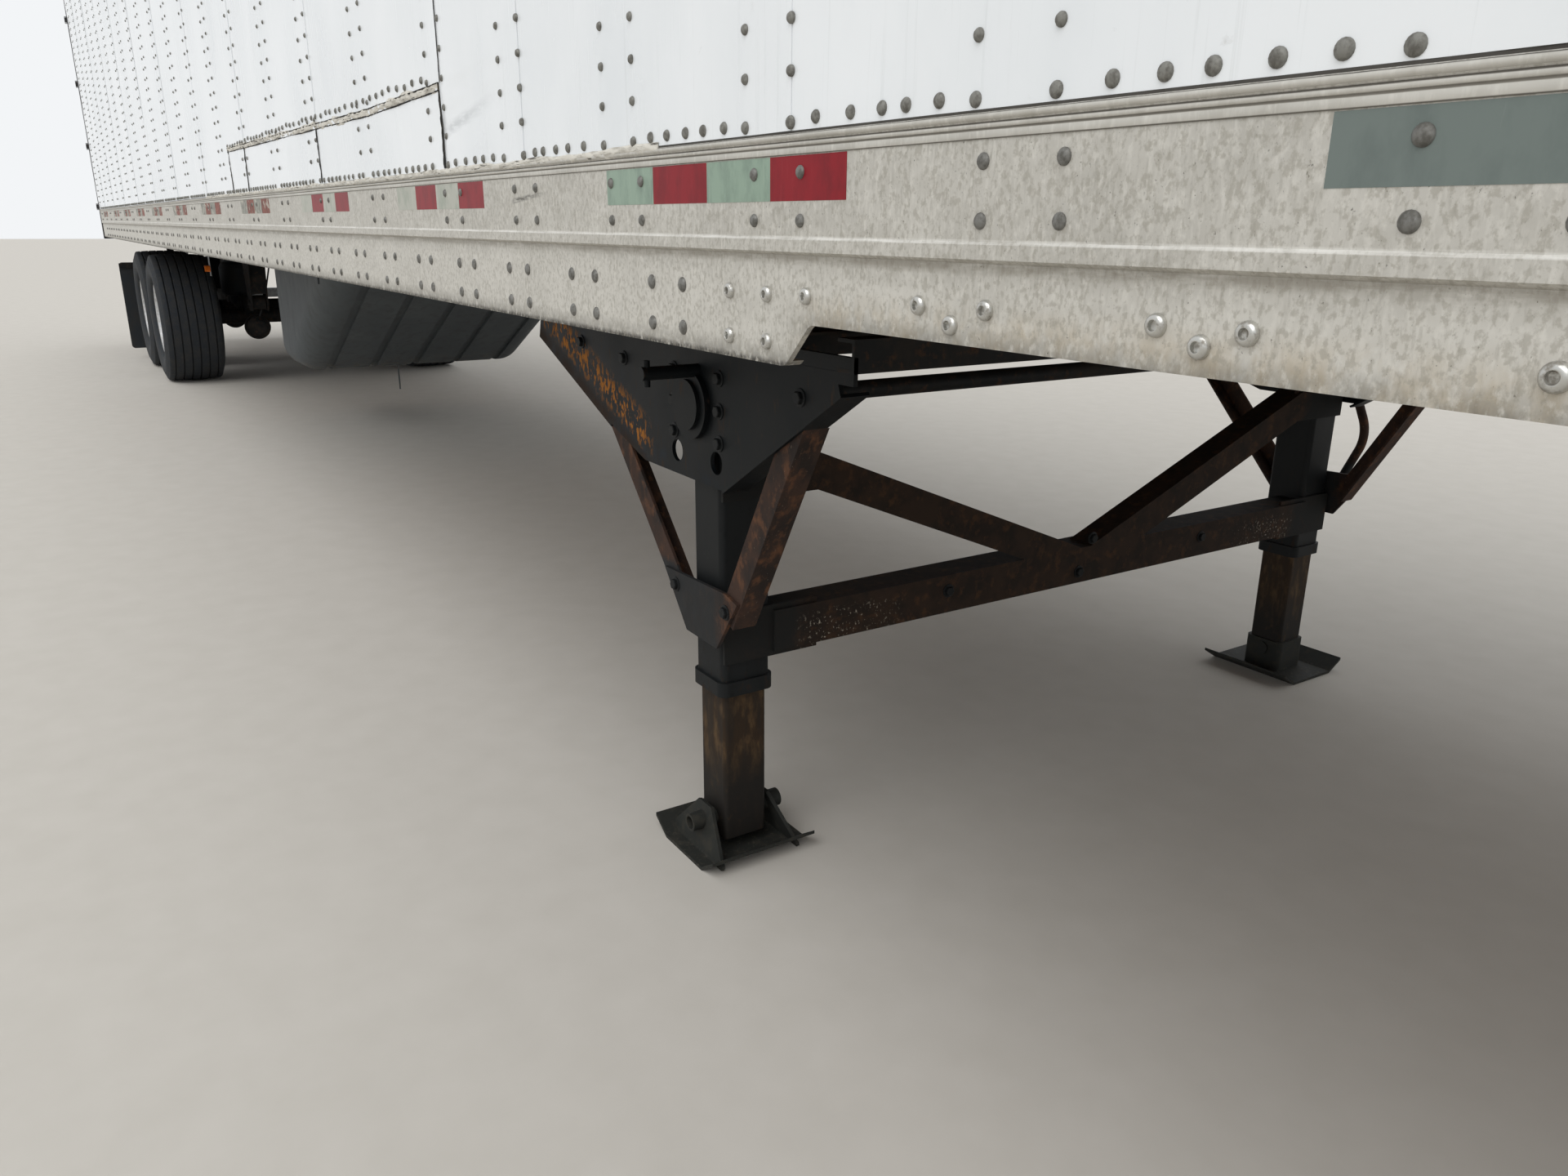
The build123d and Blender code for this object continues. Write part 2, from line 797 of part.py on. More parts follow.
wing_underside = [
    (wing_outline[0][0] - 40, above_wing),
    *wing_fold(*wing_edges[0], wing_fold_thickness)[::-1],
    *wing_fold(*wing_edges[1], wing_fold_thickness),
    (wing_outline[4][0] + 60, above_wing),
]
hole_rows = [
    # along from the leg, height, radius
    (-69.0, 862.0, 22.0),
    (86.0, 862.0, 22.0),
    (-69.0, 905.0, 9.0),
    (90.0, 903.0, 9.0),
]
with BuildPart() as wing_plates:
    for side in side_names:
        with BuildSketch(side_plane(side * wing_inner_y)):
            outline_face(flip(wing_outline))
            for along, z, radius in hole_rows:
                with Locations((-leg_x - along, z)):
                    Circle(radius, mode=Mode.SUBTRACT)
        extrude(amount=side * wing_plate_thickness)
        # Folded flanges along the two sloping lower edges
        for low, high, toward in wing_edges:
            band = [low, high, *wing_fold(low, high, toward, wing_fold_thickness)[::-1]]
            with BuildSketch(side_plane(side * wing_outer_y)):
                outline_face(flip(band))
            extrude(amount=-side * wing_flange)
save(wing_plates, "wing_plates")

with BuildPart() as leg_tubes:
    for side in side_names:
        centre = (leg_x, side * leg_y)
        bore = 2 * (ram_half + slide_gap)
        with BuildSketch(Plane.XY.offset(collar_bottom)):
            with Locations(centre):
                RectangleRounded(leg_tube, leg_tube, leg_corner)
                RectangleRounded(bore, bore, ram_corner, mode=Mode.SUBTRACT)
        extrude(amount=leg_top - collar_bottom)
        collar = leg_tube + 2 * collar_proud
        with BuildSketch(Plane.XY.offset(collar_bottom)):
            with Locations(centre):
                RectangleRounded(collar, collar, leg_corner + collar_proud)
                RectangleRounded(leg_tube - 1, leg_tube - 1, leg_corner, mode=Mode.SUBTRACT)
        extrude(amount=collar_height)
        # Mounting plate that spaces the tube from its wing plate
        with BuildSketch(side_plane(side * (leg_y + leg_half))):
            with Locations((-leg_x, (mount_plate_bottom + leg_top) / 2)):
                Rectangle(mount_plate_width, leg_top - mount_plate_bottom)
        extrude(amount=side * wing_plate_gap)
        # Gear housing on the inboard face
        with BuildSketch(side_plane(side * (leg_y - leg_half))):
            with Locations((-leg_x, gear_z)):
                Circle(gear_housing_radius)
        extrude(amount=-side * gear_housing_depth)
save(leg_tubes, "leg_tubes")

# Round gear covers outboard of the wing plates, with the shaft's stub
stub_x = leg_x + stub_shaft_ahead
stub_z = gear_z + stub_shaft_rise
with BuildPart() as gear_covers:
    for side in side_names:
        with BuildSketch(side_plane(side * wing_outer_y)):
            with Locations((-leg_x, gear_z)):
                Circle(gear_radius)
        extrude(amount=side * gear_flange)
        with BuildSketch(side_plane(side * (wing_outer_y + gear_flange))):
            with Locations((-leg_x, gear_z)):
                Circle(gear_radius - gear_step)
        extrude(amount=side * gear_cap)
        # The shaft's stub, with a cross pin through its end
        with BuildSketch(side_plane(side * wing_outer_y)):
            with Locations((-stub_x, stub_z)):
                Circle(stub_shaft_radius)
        extrude(amount=side * stub_shaft_reach)
        pin_y = side * (wing_outer_y + stub_shaft_reach - 2 * cross_pin_radius)
        with BuildSketch(Plane.XY.offset(stub_z - cross_pin_half)):
            with Locations((stub_x, pin_y)):
                Circle(cross_pin_radius)
        extrude(amount=2 * cross_pin_half)
save(gear_covers, "gear_covers")

with BuildPart() as gear_shaft:
    inner_reach = leg_y - leg_half - gear_housing_depth
    with BuildSketch(side_plane(-inner_reach)):
        with Locations((-leg_x, gear_z)):
            Circle(gear_shaft_radius)
    extrude(amount=2 * inner_reach)
save(gear_shaft, "gear_shaft")

# Crank handle on the left, folded down beside the leg
crank_y = wing_outer_y + stub_shaft_reach
crank_rows = [
    # along from the stub, drop below it
    (0.0, 20.0),
    (-4.0, 215.0),
    (46.0, 322.0),
    (-8.0, 450.0),
]
with BuildPart() as crank_handle:
    with BuildSketch(side_plane(crank_y)):
        with Locations((-stub_x, stub_z)):
            Circle(crank_hub_radius)
    extrude(amount=crank_hub_width)
    middle_y = crank_y + crank_hub_width / 2
    crank_points = [(stub_x + along, middle_y, stub_z - drop) for along, drop in crank_rows]
    with BuildLine() as crank_path:
        FilletPolyline(*crank_points, radius=crank_bend_radius)
    with BuildSketch(Plane(origin=crank_path.line @ 0, z_dir=crank_path.line % 0)):
        Circle(crank_radius)
    sweep(path=crank_path.line)
save(crank_handle, "crank_handle")

with BuildPart() as leg_rams:
    for side in side_names:
        with BuildSketch(Plane.XY.offset(ram_bottom)):
            with Locations((leg_x, side * leg_y)):
                RectangleRounded(2 * ram_half, 2 * ram_half, ram_corner)
                inner = 2 * (ram_half - leg_wall)
                RectangleRounded(inner, inner, ram_corner - 4, mode=Mode.SUBTRACT)
        extrude(amount=ram_top - ram_bottom)
        with BuildSketch(side_plane(side * (leg_y - leg_half))):
            with Locations((-leg_x, stub_height)):
                Circle(stub_radius + slide_gap)
        extrude(amount=side * leg_tube, mode=Mode.SUBTRACT)
save(leg_rams, "leg_rams")

# Sand shoe on the right: a pad with turned-up ends, leaning ears and a hollow axle
shoe_half = shoe_pad / 2
turn_start = shoe_half - 48
pad_outline = [
    (-shoe_half, shoe_turn_up),
    (-turn_start, 0),
    (turn_start, 0),
    (shoe_half, shoe_turn_up),
    (shoe_half, shoe_turn_up + shoe_plate),
    (turn_start, shoe_plate),
    (-turn_start, shoe_plate),
    (-shoe_half, shoe_turn_up + shoe_plate),
]
with BuildPart() as right_shoe:
    with BuildSketch(side_plane(-leg_y - shoe_half)):
        outline_face(flip([(leg_x + x, z) for x, z in pad_outline]))
    extrude(amount=shoe_pad)
    lean = degrees(atan2(shoe_ear_spread - shoe_ear_top, shoe_ear_height))
    for outward in (-1, 1):
        ear_plane = Plane(
            origin=(leg_x, -leg_y + outward * shoe_ear_spread, shoe_plate - 2),
            x_dir=(1, 0, 0),
            z_dir=(0, outward * cos(radians(lean)), sin(radians(lean))),
        )
        rise = outward * -1
        with BuildSketch(ear_plane):
            outline_face([
                (-shoe_ear_half_foot, 0),
                (-shoe_ear_half_foot, rise * shoe_plate),
                (-shoe_ear_half_top, rise * shoe_ear_height),
                (shoe_ear_half_top, rise * shoe_ear_height),
                (shoe_ear_half_foot, rise * shoe_plate),
                (shoe_ear_half_foot, 0),
            ])
        extrude(amount=-shoe_plate)
    with BuildSketch(side_plane(-leg_y - stub_reach)):
        with Locations((-leg_x, stub_height)):
            Circle(stub_radius)
    extrude(amount=2 * stub_reach)
    with BuildSketch(side_plane(-leg_y - stub_reach)):
        with Locations((-leg_x, stub_height)):
            Circle(stub_bore)
    extrude(amount=2 * stub_reach, mode=Mode.SUBTRACT)
save(right_shoe, "leg_shoe_right")

# Sand shoe on the left: a dished pad with a boxed boot round the ram
with BuildPart() as left_shoe:
    boot_inner = 2 * (ram_half + slide_gap)
    with BuildSketch(Plane.YZ.offset(leg_x - shoe_half - 12)):
        outline_face([(leg_y + y * 1.1, z) for y, z in pad_outline])
    extrude(amount=shoe_pad + 24)
    with BuildSketch(Plane.XY.offset(shoe_plate - 2)):
        with Locations((leg_x, leg_y)):
            RectangleRounded(boot_inner + 16, boot_inner + 16, ram_corner + 6)
            RectangleRounded(boot_inner, boot_inner, ram_corner, mode=Mode.SUBTRACT)
    extrude(amount=boot_height)
    with BuildSketch(side_plane(leg_y - ram_half - 14)):
        with Locations((-leg_x, stub_height)):
            Circle(stub_radius)
    extrude(amount=2 * ram_half + 28)
save(left_shoe, "leg_shoe_left")


# Angle-iron braces, each with its corner outboard and away from the leg
def angle_section(start, end, across, toward, size, plate):
    # The plane and outline of an L section that runs from start to end: one leg
    # lies across, the other points toward.
    direction = Vector(*end) - Vector(*start)
    section = Plane(origin=start, x_dir=across, z_dir=direction.normalized())
    turn = 1 if section.y_dir.dot(Vector(*toward)) > 0 else -1
    outline = [
        (0, 0),
        (size, 0),
        (size, turn * plate),
        (plate, turn * plate),
        (plate, turn * size),
        (0, turn * size),
    ]
    return section, outline, direction.length


lower_plate = [
    (leg_x - 138.0, 604.0),
    (leg_x + 114.0, 611.0),
    (leg_x + 157.0, 600.0),
    (leg_x + 77.0, 487.0),
    (leg_x - 46.0, 490.0),
]
brace_rows = [
    # foot x, foot z, head x, head z
    (leg_x - 103.0, 545.0, leg_x - 445.0, 915.0),
    (leg_x + 128.0, 540.0, leg_x + 442.0, 1100.0),
]
with BuildPart() as leg_braces:
    for side in side_names:
        for foot_x, foot_z, head_x, head_z in brace_rows:
            start = (foot_x, side * wing_inner_y, foot_z)
            end = (head_x, side * wing_inner_y, head_z)
            across = (0, -side, 0)
            toward = (leg_x - foot_x, 0, 0)
            section, outline, length = angle_section(start, end, across, toward, brace_angle, brace_plate)
            with BuildSketch(section):
                outline_face(outline)
            extrude(amount=length)
        # The braces end under the wing plate's folded edges.
        with BuildSketch(side_plane(side * (wing_inner_y - brace_angle - 10))):
            outline_face(flip(wing_underside))
        extrude(amount=side * (brace_angle + 20), mode=Mode.SUBTRACT)
    for side in side_names:
        with BuildSketch(side_plane(side * wing_inner_y)):
            outline_face(flip(lower_plate))
        extrude(amount=side * wing_plate_thickness)
        with BuildSketch(side_plane(side * (leg_y + leg_half))):
            with Locations((-leg_x, lower_spacer_z)):
                Rectangle(lower_spacer_width, lower_spacer_height)
        extrude(amount=side * wing_plate_gap)
save(leg_braces, "leg_braces")

# Cross brace between the legs: one level bar and two diagonals from its middle
cross_x = leg_x + leg_half + cross_plate
diagonal_foot_z = cross_low + cross_angle + 2
gusset_y = leg_y + leg_half - gusset_width / 2
low_gusset_z = cross_low + cross_angle / 2
high_gusset_z = diagonal_foot_z + diagonal_rise - gusset_height / 2 - cross_plate
with BuildPart() as cross_brace:
    reach = leg_y - leg_half
    start = (cross_x + cross_plate, -reach, cross_low + cross_angle)
    end = (cross_x + cross_plate, reach, cross_low + cross_angle)
    across = (-1, 0, 0)
    section, outline, length = angle_section(start, end, across, (0, 0, -1), cross_angle, cross_plate)
    with BuildSketch(section):
        outline_face(outline)
    extrude(amount=length)
    for side in side_names:
        foot = (cross_x + cross_plate, side * 20, diagonal_foot_z)
        head = (cross_x + cross_plate, side * (reach - cross_plate), diagonal_foot_z + diagonal_rise)
        toward = (0, side, -1)
        section, outline, length = angle_section(foot, head, across, toward, diagonal_angle, cross_plate)
        with BuildSketch(section):
            outline_face(outline)
        extrude(amount=length)
        with BuildSketch(Plane.YZ.offset(leg_x + leg_half)):
            with Locations((side * gusset_y, low_gusset_z)):
                Rectangle(gusset_width, gusset_height)
        extrude(amount=cross_plate)
        with BuildSketch(Plane.YZ.offset(leg_x + leg_half)):
            with Locations((side * gusset_y, high_gusset_z)):
                Rectangle(gusset_width, gusset_height)
        extrude(amount=cross_plate)
save(cross_brace, "cross_brace")


# Wheels: a wide-base tyre on a disc wheel with its hub and brake drum
def wheel_plane(axle_x, side):
    # Sketch (outboard, radius) in the plane that holds the axle.
    return Plane(origin=(axle_x, side * wheel_y, tyre_radius), x_dir=(0, side, 0), z_dir=(side, 0, 0))


def wheel_axis(axle_x):
    return Axis((axle_x, 0, tyre_radius), (0, 1, 0))


def tyre(axle_x, side):
    half_tread = tread_width / 2
    half_section = tyre_width / 2
    bead_top = bead_seat_radius + rim_flange + 3
    half_profile = [
        # across from the middle, radius: out over the tread, in along the liner
        (half_tread / 2, tyre_radius),
        (half_tread, tyre_radius - 8),
        (half_section - 7, tyre_radius - 46),
        (half_section, 400),
        (half_section - 14, bead_top + 24),
        (bead_seat_half, bead_top),
        (bead_seat_half, bead_seat_radius),
        (bead_seat_half - 34, bead_seat_radius),
        (half_section - 20, 400),
        (half_tread - 22, tyre_radius - 44),
    ]
    with BuildPart() as builder:
        with BuildSketch(wheel_plane(axle_x, side)):
            outline_face(half_profile + [(-across, radius) for across, radius in half_profile[::-1]])
        revolve(axis=wheel_axis(axle_x))
    return builder


def wheel(axle_x, side):
    seat_radius = bead_seat_radius - seat_gap
    rim_half = bead_seat_half + 12
    flange_radius = seat_radius + rim_flange
    rim_profile = [
        # outboard of the wheel's middle, radius
        (-rim_half, flange_radius),
        (-bead_seat_half - seat_gap, flange_radius),
        (-bead_seat_half - seat_gap, seat_radius),
        (-110, seat_radius - 4),
        (-80, seat_radius - 22),
        (60, seat_radius - 22),
        (100, seat_radius - 4),
        (bead_seat_half + seat_gap, seat_radius),
        (bead_seat_half + seat_gap, flange_radius),
        (rim_half, flange_radius),
        (rim_half - 2, seat_radius - 10),
        (110, seat_radius - 16),
        (70, seat_radius - 34),
        (hub_face + 16, seat_radius - 40),
        (hub_face + 26, 190),
        (hub_face + 20, 150),
        (hub_face + 20, 78),
        (hub_face + 92, 74),
        (hub_face + 100, 62),
        (hub_face + 100, 0),
        (hub_face + 84, 0),
        (hub_face + 84, spindle_radius + spindle_gap),
        (hub_face - drum_length - 12, spindle_radius + spindle_gap),
        (hub_face - drum_length - 12, 66),
        (hub_face - 24, 84),
        (hub_face - 24, drum_radius - 16),
        (hub_face - drum_length, drum_radius - 16),
        (hub_face - drum_length, drum_radius + 6),
        (hub_face - drum_length + 24, drum_radius + 6),
        (hub_face - drum_length + 24, drum_radius - 2),
        (hub_face - 30, drum_radius - 2),
        (hub_face, drum_radius - 30),
        (hub_face, 190),
        (hub_face + 2, seat_radius - 52),
        (50, seat_radius - 34),
        (-80, seat_radius - 34),
        (-112, seat_radius - 16),
        (-rim_half, seat_radius - 12),
    ]
    with BuildPart() as builder:
        with BuildSketch(wheel_plane(axle_x, side)):
            outline_face(rim_profile)
        revolve(axis=wheel_axis(axle_x))
        # Hand holes through the disc
        hole_plane = Plane(
            origin=(axle_x, side * (wheel_y + hub_face + 60), tyre_radius),
            x_dir=(1, 0, 0),
            z_dir=(0, side, 0),
        )
        with BuildSketch(hole_plane):
            with PolarLocations(hand_hole_circle, hand_hole_count):
                SlotOverall(hand_hole_length, hand_hole_width, rotation=90)
        extrude(amount=-62, mode=Mode.SUBTRACT)
    return builder


for axle_x, axle_name in zip(axle_places, axle_names):
    for side, side_name in side_names.items():
        save(tyre(axle_x, side), f"tyre_{axle_name}_{side_name}")
        save(wheel(axle_x, side), f"wheel_{axle_name}_{side_name}")

# Axles: tube, spindles inside the hubs, brake plates and chamber brackets
spindle_end = wheel_y + hub_face + 80
tube_end = wheel_y + hub_face - drum_length - 30
with BuildPart() as axles:
    for axle_x in axle_places:
        with BuildSketch(side_plane(-tube_end)):
            with Locations((-axle_x, tyre_radius)):
                Circle(axle_tube_radius)
        extrude(amount=2 * tube_end)
        with BuildSketch(side_plane(-spindle_end)):
            with Locations((-axle_x, tyre_radius)):
                Circle(spindle_radius)
        extrude(amount=2 * spindle_end)
        for side in side_names:
            with BuildSketch(side_plane(side * (tube_end - 10))):
                with Locations((-axle_x, tyre_radius)):
                    Circle(drum_radius - 20)
            extrude(amount=side * 6)
            bracket_x = axle_x + chamber_ahead / 2 - 30
            with BuildSketch(side_plane(side * (chamber_y - 8))):
                with Locations((-bracket_x, (chamber_z + tyre_radius) / 2)):
                    Rectangle(chamber_ahead - 60, 60)
            extrude(amount=side * 16)
save(axles, "axles")

# Brake chambers: two bells clamped together, axis along the trailer
chamber_steps = [
    # from the rear face forward: distance, radius
    (0, 0),
    (0, chamber_radius - 36),
    (26, chamber_radius - 10),
    (78, chamber_radius - 6),
    (80, chamber_radius),
    (100, chamber_radius),
    (102, chamber_radius - 6),
    (150, chamber_radius - 12),
    (chamber_length, chamber_radius - 46),
    (chamber_length, 0),
]
with BuildPart() as brake_chambers:
    for axle_x in axle_places:
        for side in side_names:
            rear_face = axle_x + chamber_ahead - 60 + 0.3
            with BuildSketch(side_plane(side * chamber_y)):
                outline_face([(-(rear_face + along), chamber_z + radius) for along, radius in chamber_steps])
            revolve(axis=Axis((rear_face, side * chamber_y, chamber_z), (1, 0, 0)))
save(brake_chambers, "brake_chambers")

# Slider rails fixed under the floor, and the bogie frame below them
with BuildPart() as slider_rails:
    for side in side_names:
        with BuildSketch(Plane.YZ.offset(slider_rear_x)):
            middle_y = side * bogie_y
            inside = bogie_rail_width / 2 + slide_gap
            outside = inside + slider_web
            low = bogie_rail_top - slider_lap
            outline_face([
                (middle_y - outside, low),
                (middle_y - outside, beam_bottom),
                (middle_y + outside, beam_bottom),
                (middle_y + outside, low),
                (middle_y + inside, low),
                (middle_y + inside, bogie_rail_top),
                (middle_y - inside, bogie_rail_top),
                (middle_y - inside, low),
            ])
        extrude(amount=slider_front_x - slider_rear_x)
save(slider_rails, "slider_rails")

hanger_places = [axle_x + hanger_ahead for axle_x in axle_places]
spring_places = [axle_x - spring_behind for axle_x in axle_places]
cross_tube_places = hanger_places + spring_places
with BuildPart() as bogie_frame:
    for side in side_names:
        with BuildSketch(Plane.YZ.offset(bogie_rear_x)):
            with Locations((side * bogie_y, bogie_rail_bottom + bogie_rail_height / 2)):
                Rectangle(bogie_rail_width, bogie_rail_height)
        extrude(amount=bogie_front_x - bogie_rear_x)
        # Hanger: two side plates and a front web around the arm's pivot
        for hanger_x in hanger_places:
            for shift in (-1, 1):
                inner_y = side * bogie_y + shift * (arm_width / 2 + 6)
                with BuildSketch(side_plane(inner_y)):
                    outline_face(flip([
                        (hanger_x - 150, bogie_rail_bottom),
                        (hanger_x + 130, bogie_rail_bottom),
                        (hanger_x + 62, pivot_z - 66),
                        (hanger_x - 62, pivot_z - 66),
                    ]))
                    with Locations((-hanger_x, pivot_z)):
                        Circle(pivot_radius + 0.3, mode=Mode.SUBTRACT)
                extrude(amount=shift * 10)
            with BuildSketch(Plane.XY.offset(pivot_z + 70)):
                with Locations((hanger_x + 82, side * bogie_y)):
                    Rectangle(10, arm_width + 14)
            extrude(amount=bogie_rail_bottom - pivot_z - 70)
    with BuildSketch(side_plane(-bogie_y + bogie_rail_width / 2)):
        for x in cross_tube_places:
            with Locations((-x, bogie_rail_bottom + cross_tube / 2)):
                Rectangle(cross_tube, cross_tube)
    extrude(amount=2 * bogie_y - bogie_rail_width)
save(bogie_frame, "bogie_frame")

# Trailing arms: pivot eye, beam over the axle, saddle and air spring pad
with BuildPart() as trailing_arms:
    for axle_x in axle_places:
        pivot_x = axle_x + hanger_ahead
        arm_top = arm_bottom + arm_height
        outline = [
            (pivot_x + 10, pivot_z + 46),
            (axle_x + 150, arm_top),
            (axle_x - 130, arm_top),
            (axle_x - spring_behind + 60, spring_seat),
            (axle_x - spring_behind - 120, spring_seat),
            (axle_x - spring_behind - 120, spring_seat - 24),
            (axle_x - 190, spring_seat - 50),
            (axle_x - 90, tyre_radius),
            (axle_x + 90, tyre_radius),
            (axle_x + 150, arm_bottom),
            (pivot_x + 10, pivot_z - 46),
        ]
        for side in side_names:
            with BuildSketch(side_plane(side * bogie_y - arm_width / 2)):
                outline_face(flip(outline))
                with Locations((-pivot_x, pivot_z)):
                    Circle(56)
                with Locations((-axle_x, tyre_radius)):
                    Circle(axle_tube_radius + 0.3, mode=Mode.SUBTRACT)
            extrude(amount=arm_width)
            # Pivot bolt through the hanger's plates
            with BuildSketch(side_plane(side * bogie_y - arm_width / 2 - 30)):
                with Locations((-pivot_x, pivot_z)):
                    Circle(pivot_radius)
            extrude(amount=arm_width + 60)
save(trailing_arms, "trailing_arms")

# Air springs: a rolling lobe over a piston
spring_top = bogie_rail_bottom
spring_height = spring_top - spring_seat
spring_profile = [
    # height above the seat, radius
    (0, 78),
    (70, 92),
    (78, spring_radius - 18),
    (105, spring_radius),
    (spring_height - 60, spring_radius),
    (spring_height - 28, spring_radius - 16),
    (spring_height - 10, 96),
    (spring_height, 96),
]
with BuildPart() as air_springs:
    for axle_x in axle_places:
        for side in side_names:
            spring_x = axle_x - spring_behind - 20
            with BuildSketch(side_plane(side * bogie_y)):
                points = [(-spring_x, spring_seat)]
                points += [(-(spring_x + radius), spring_seat + up) for up, radius in spring_profile]
                points += [(-spring_x, spring_seat + spring_height)]
                outline_face(points)
            revolve(axis=Axis((spring_x, side * bogie_y, 0), (0, 0, 1)))
save(air_springs, "air_springs")

# Air tank slung across the bogie ahead of the front hangers
tank_x = bogie_front_x + tank_ahead
strap_bottom = tank_z + tank_radius - 5
with BuildPart() as air_tank:
    with BuildSketch(Plane.XY.offset(tank_z)):
        outline_face([
            (tank_x, -tank_half_length),
            (tank_x + tank_radius - 35, 8 - tank_half_length),
            (tank_x + tank_radius, 40 - tank_half_length),
            (tank_x + tank_radius, tank_half_length - 40),
            (tank_x + tank_radius - 35, tank_half_length - 8),
            (tank_x, tank_half_length),
        ])
    revolve(axis=Axis((tank_x, 0, tank_z), (0, 1, 0)))
    for y in tank_strap_places:
        with BuildSketch(side_plane(y)):
            with Locations((-tank_x, (beam_bottom + strap_bottom) / 2)):
                Rectangle(tank_strap_width, beam_bottom - strap_bottom)
        extrude(amount=tank_strap_thickness)
save(air_tank, "air_tank")

# Mud flaps behind the rear tyres on brackets from the floor
flap_middle_y = wheel_y + 5
with BuildPart() as mud_flaps:
    with BuildSketch(Plane.YZ.offset(flap_x)):
        for side in side_names:
            with Locations((side * flap_middle_y, (flap_bottom + flap_top) / 2)):
                RectangleRounded(flap_width, flap_top - flap_bottom, 30)
    extrude(amount=flap_thickness)
save(mud_flaps, "mud_flaps")

with BuildPart() as flap_brackets:
    with BuildSketch(Plane.YZ.offset(flap_x + flap_thickness)):
        for side in side_names:
            with Locations((side * flap_middle_y, flap_top - 30)):
                Rectangle(flap_width, 44)
            with Locations((side * (flap_middle_y - 150), (flap_top - 8 + beam_bottom) / 2)):
                Rectangle(60, beam_bottom - flap_top + 8)
    extrude(amount=10)
save(flap_brackets, "flap_brackets")


# Moulded tray: a ramp down to a flat bottom, open above and behind
def tray_band(inner, outer):
    # A strip along the tray's lower surface between two depths from it.
    ramp = atan2(beam_bottom - tray_bottom - tray_wall, tray_front_x - tray_low_x)
    flat_turn = sin(ramp / 2) / cos(ramp / 2)
    rows = []
    for depth in (inner, outer):
        rows.append([
            (tray_front_x - sin(ramp) * depth, beam_bottom - tray_wall + cos(ramp) * depth),
            (tray_low_x - flat_turn * depth, tray_bottom + depth),
            (tray_rear_x, tray_bottom + depth),
        ])
    return rows


def tray_groove(y, width, inner, outer):
    # One strip of that width, rounded where the tray's bottom turns.
    rows = tray_band(inner, outer)
    with BuildSketch(side_plane(y - width / 2)) as strip:
        outline_face(flip(rows[0] + rows[1][::-1]))
        for row, depth in zip(rows, (inner, outer)):
            corner = strip.vertices().sort_by_distance((-row[1][0], row[1][1], 0))[0]
            fillet(corner, radius=tray_bend_radius - depth)
    return strip.sketch


rib_middle = (tray_rib_count - 1) / 2
tray_ribs = [(n - rib_middle) * tray_rib_pitch for n in range(tray_rib_count)]
with BuildPart() as tray:
    with BuildSketch(side_plane(-tray_half_width)):
        outline_face(flip([
            (tray_front_x, beam_bottom - tray_wall),
            (tray_low_x, tray_bottom),
            (tray_rear_x, tray_bottom),
            (tray_rear_x, beam_bottom - 0.3),
            (tray_front_x, beam_bottom - 0.3),
        ]))
    extrude(amount=2 * tray_half_width)
    low_edges = tray.edges().filter_by(Axis.Y).sort_by(Axis.Z)[:2].sort_by(Axis.X)
    fillet(low_edges[-1], radius=tray_bend_radius)
    side_edges = [
        edge
        for edge in tray.edges()
        if abs(abs(edge.center().Y) - tray_half_width) < 1
        and edge.bounding_box().max.Z < beam_bottom - 5
        and edge.bounding_box().size.X > 1
    ]
    fillet(side_edges, radius=tray_side_radius)
    top_face = tray.faces().sort_by(Axis.Z)[-1]
    rear_face = tray.faces().sort_by(Axis.X)[0]
    offset(amount=-tray_wall, openings=[top_face, rear_face], kind=Kind.INTERSECTION)
    # Moulded grooves run down the ramp and along the bottom, their wall behind them.
    behind_width = tray_rib_width + 2 * tray_wall
    for y in tray_ribs:
        behind = tray_groove(y, behind_width, 1, tray_rib_depth + tray_wall)
        add(extrude(behind, amount=behind_width, mode=Mode.PRIVATE))
    for y in tray_ribs:
        groove = tray_groove(y, tray_rib_width, -2, tray_rib_depth)
        add(extrude(groove, amount=tray_rib_width, mode=Mode.PRIVATE), mode=Mode.SUBTRACT)
    with BuildSketch(Plane.XY.offset(beam_bottom - 0.3)):
        with Locations((tray_front_x, 0)):
            Rectangle(2 * tray_ramp, 2 * tray_half_width)
    extrude(amount=tray_rib_depth + 2 * tray_wall, mode=Mode.SUBTRACT)
    # Tongue behind the bottom, and the drain pipe that hangs from it
    with BuildSketch(Plane.XY.offset(tray_bottom)):
        with Locations((tray_rear_x - tray_tongue / 2 + tray_wall, 0)):
            RectangleRounded(tray_tongue + 2 * tray_wall, 2 * tray_tongue_half_width, 60)
    extrude(amount=tray_wall)
    with BuildSketch(Plane.XY.offset(tray_bottom - drain_drop)):
        with Locations((tray_low_x - tray_wall, drain_y)):
            Circle(drain_radius)
    extrude(amount=drain_drop + tray_wall)
save(tray, "aero_tray")
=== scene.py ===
import math

import bpy
import numpy as np
from mathutils import Matrix


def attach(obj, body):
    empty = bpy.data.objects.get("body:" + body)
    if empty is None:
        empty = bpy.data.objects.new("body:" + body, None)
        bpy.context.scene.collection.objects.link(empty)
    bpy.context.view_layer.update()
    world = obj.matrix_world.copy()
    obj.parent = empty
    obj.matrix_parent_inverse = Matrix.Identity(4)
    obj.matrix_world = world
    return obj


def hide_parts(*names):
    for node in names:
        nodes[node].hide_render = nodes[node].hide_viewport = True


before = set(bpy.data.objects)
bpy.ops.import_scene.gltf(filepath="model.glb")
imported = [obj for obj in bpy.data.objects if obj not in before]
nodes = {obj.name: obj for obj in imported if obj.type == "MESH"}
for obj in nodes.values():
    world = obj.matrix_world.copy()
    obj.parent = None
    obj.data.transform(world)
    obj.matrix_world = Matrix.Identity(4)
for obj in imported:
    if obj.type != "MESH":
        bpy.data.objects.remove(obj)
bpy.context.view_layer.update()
print("frame loaded:", len(nodes), "nodes")

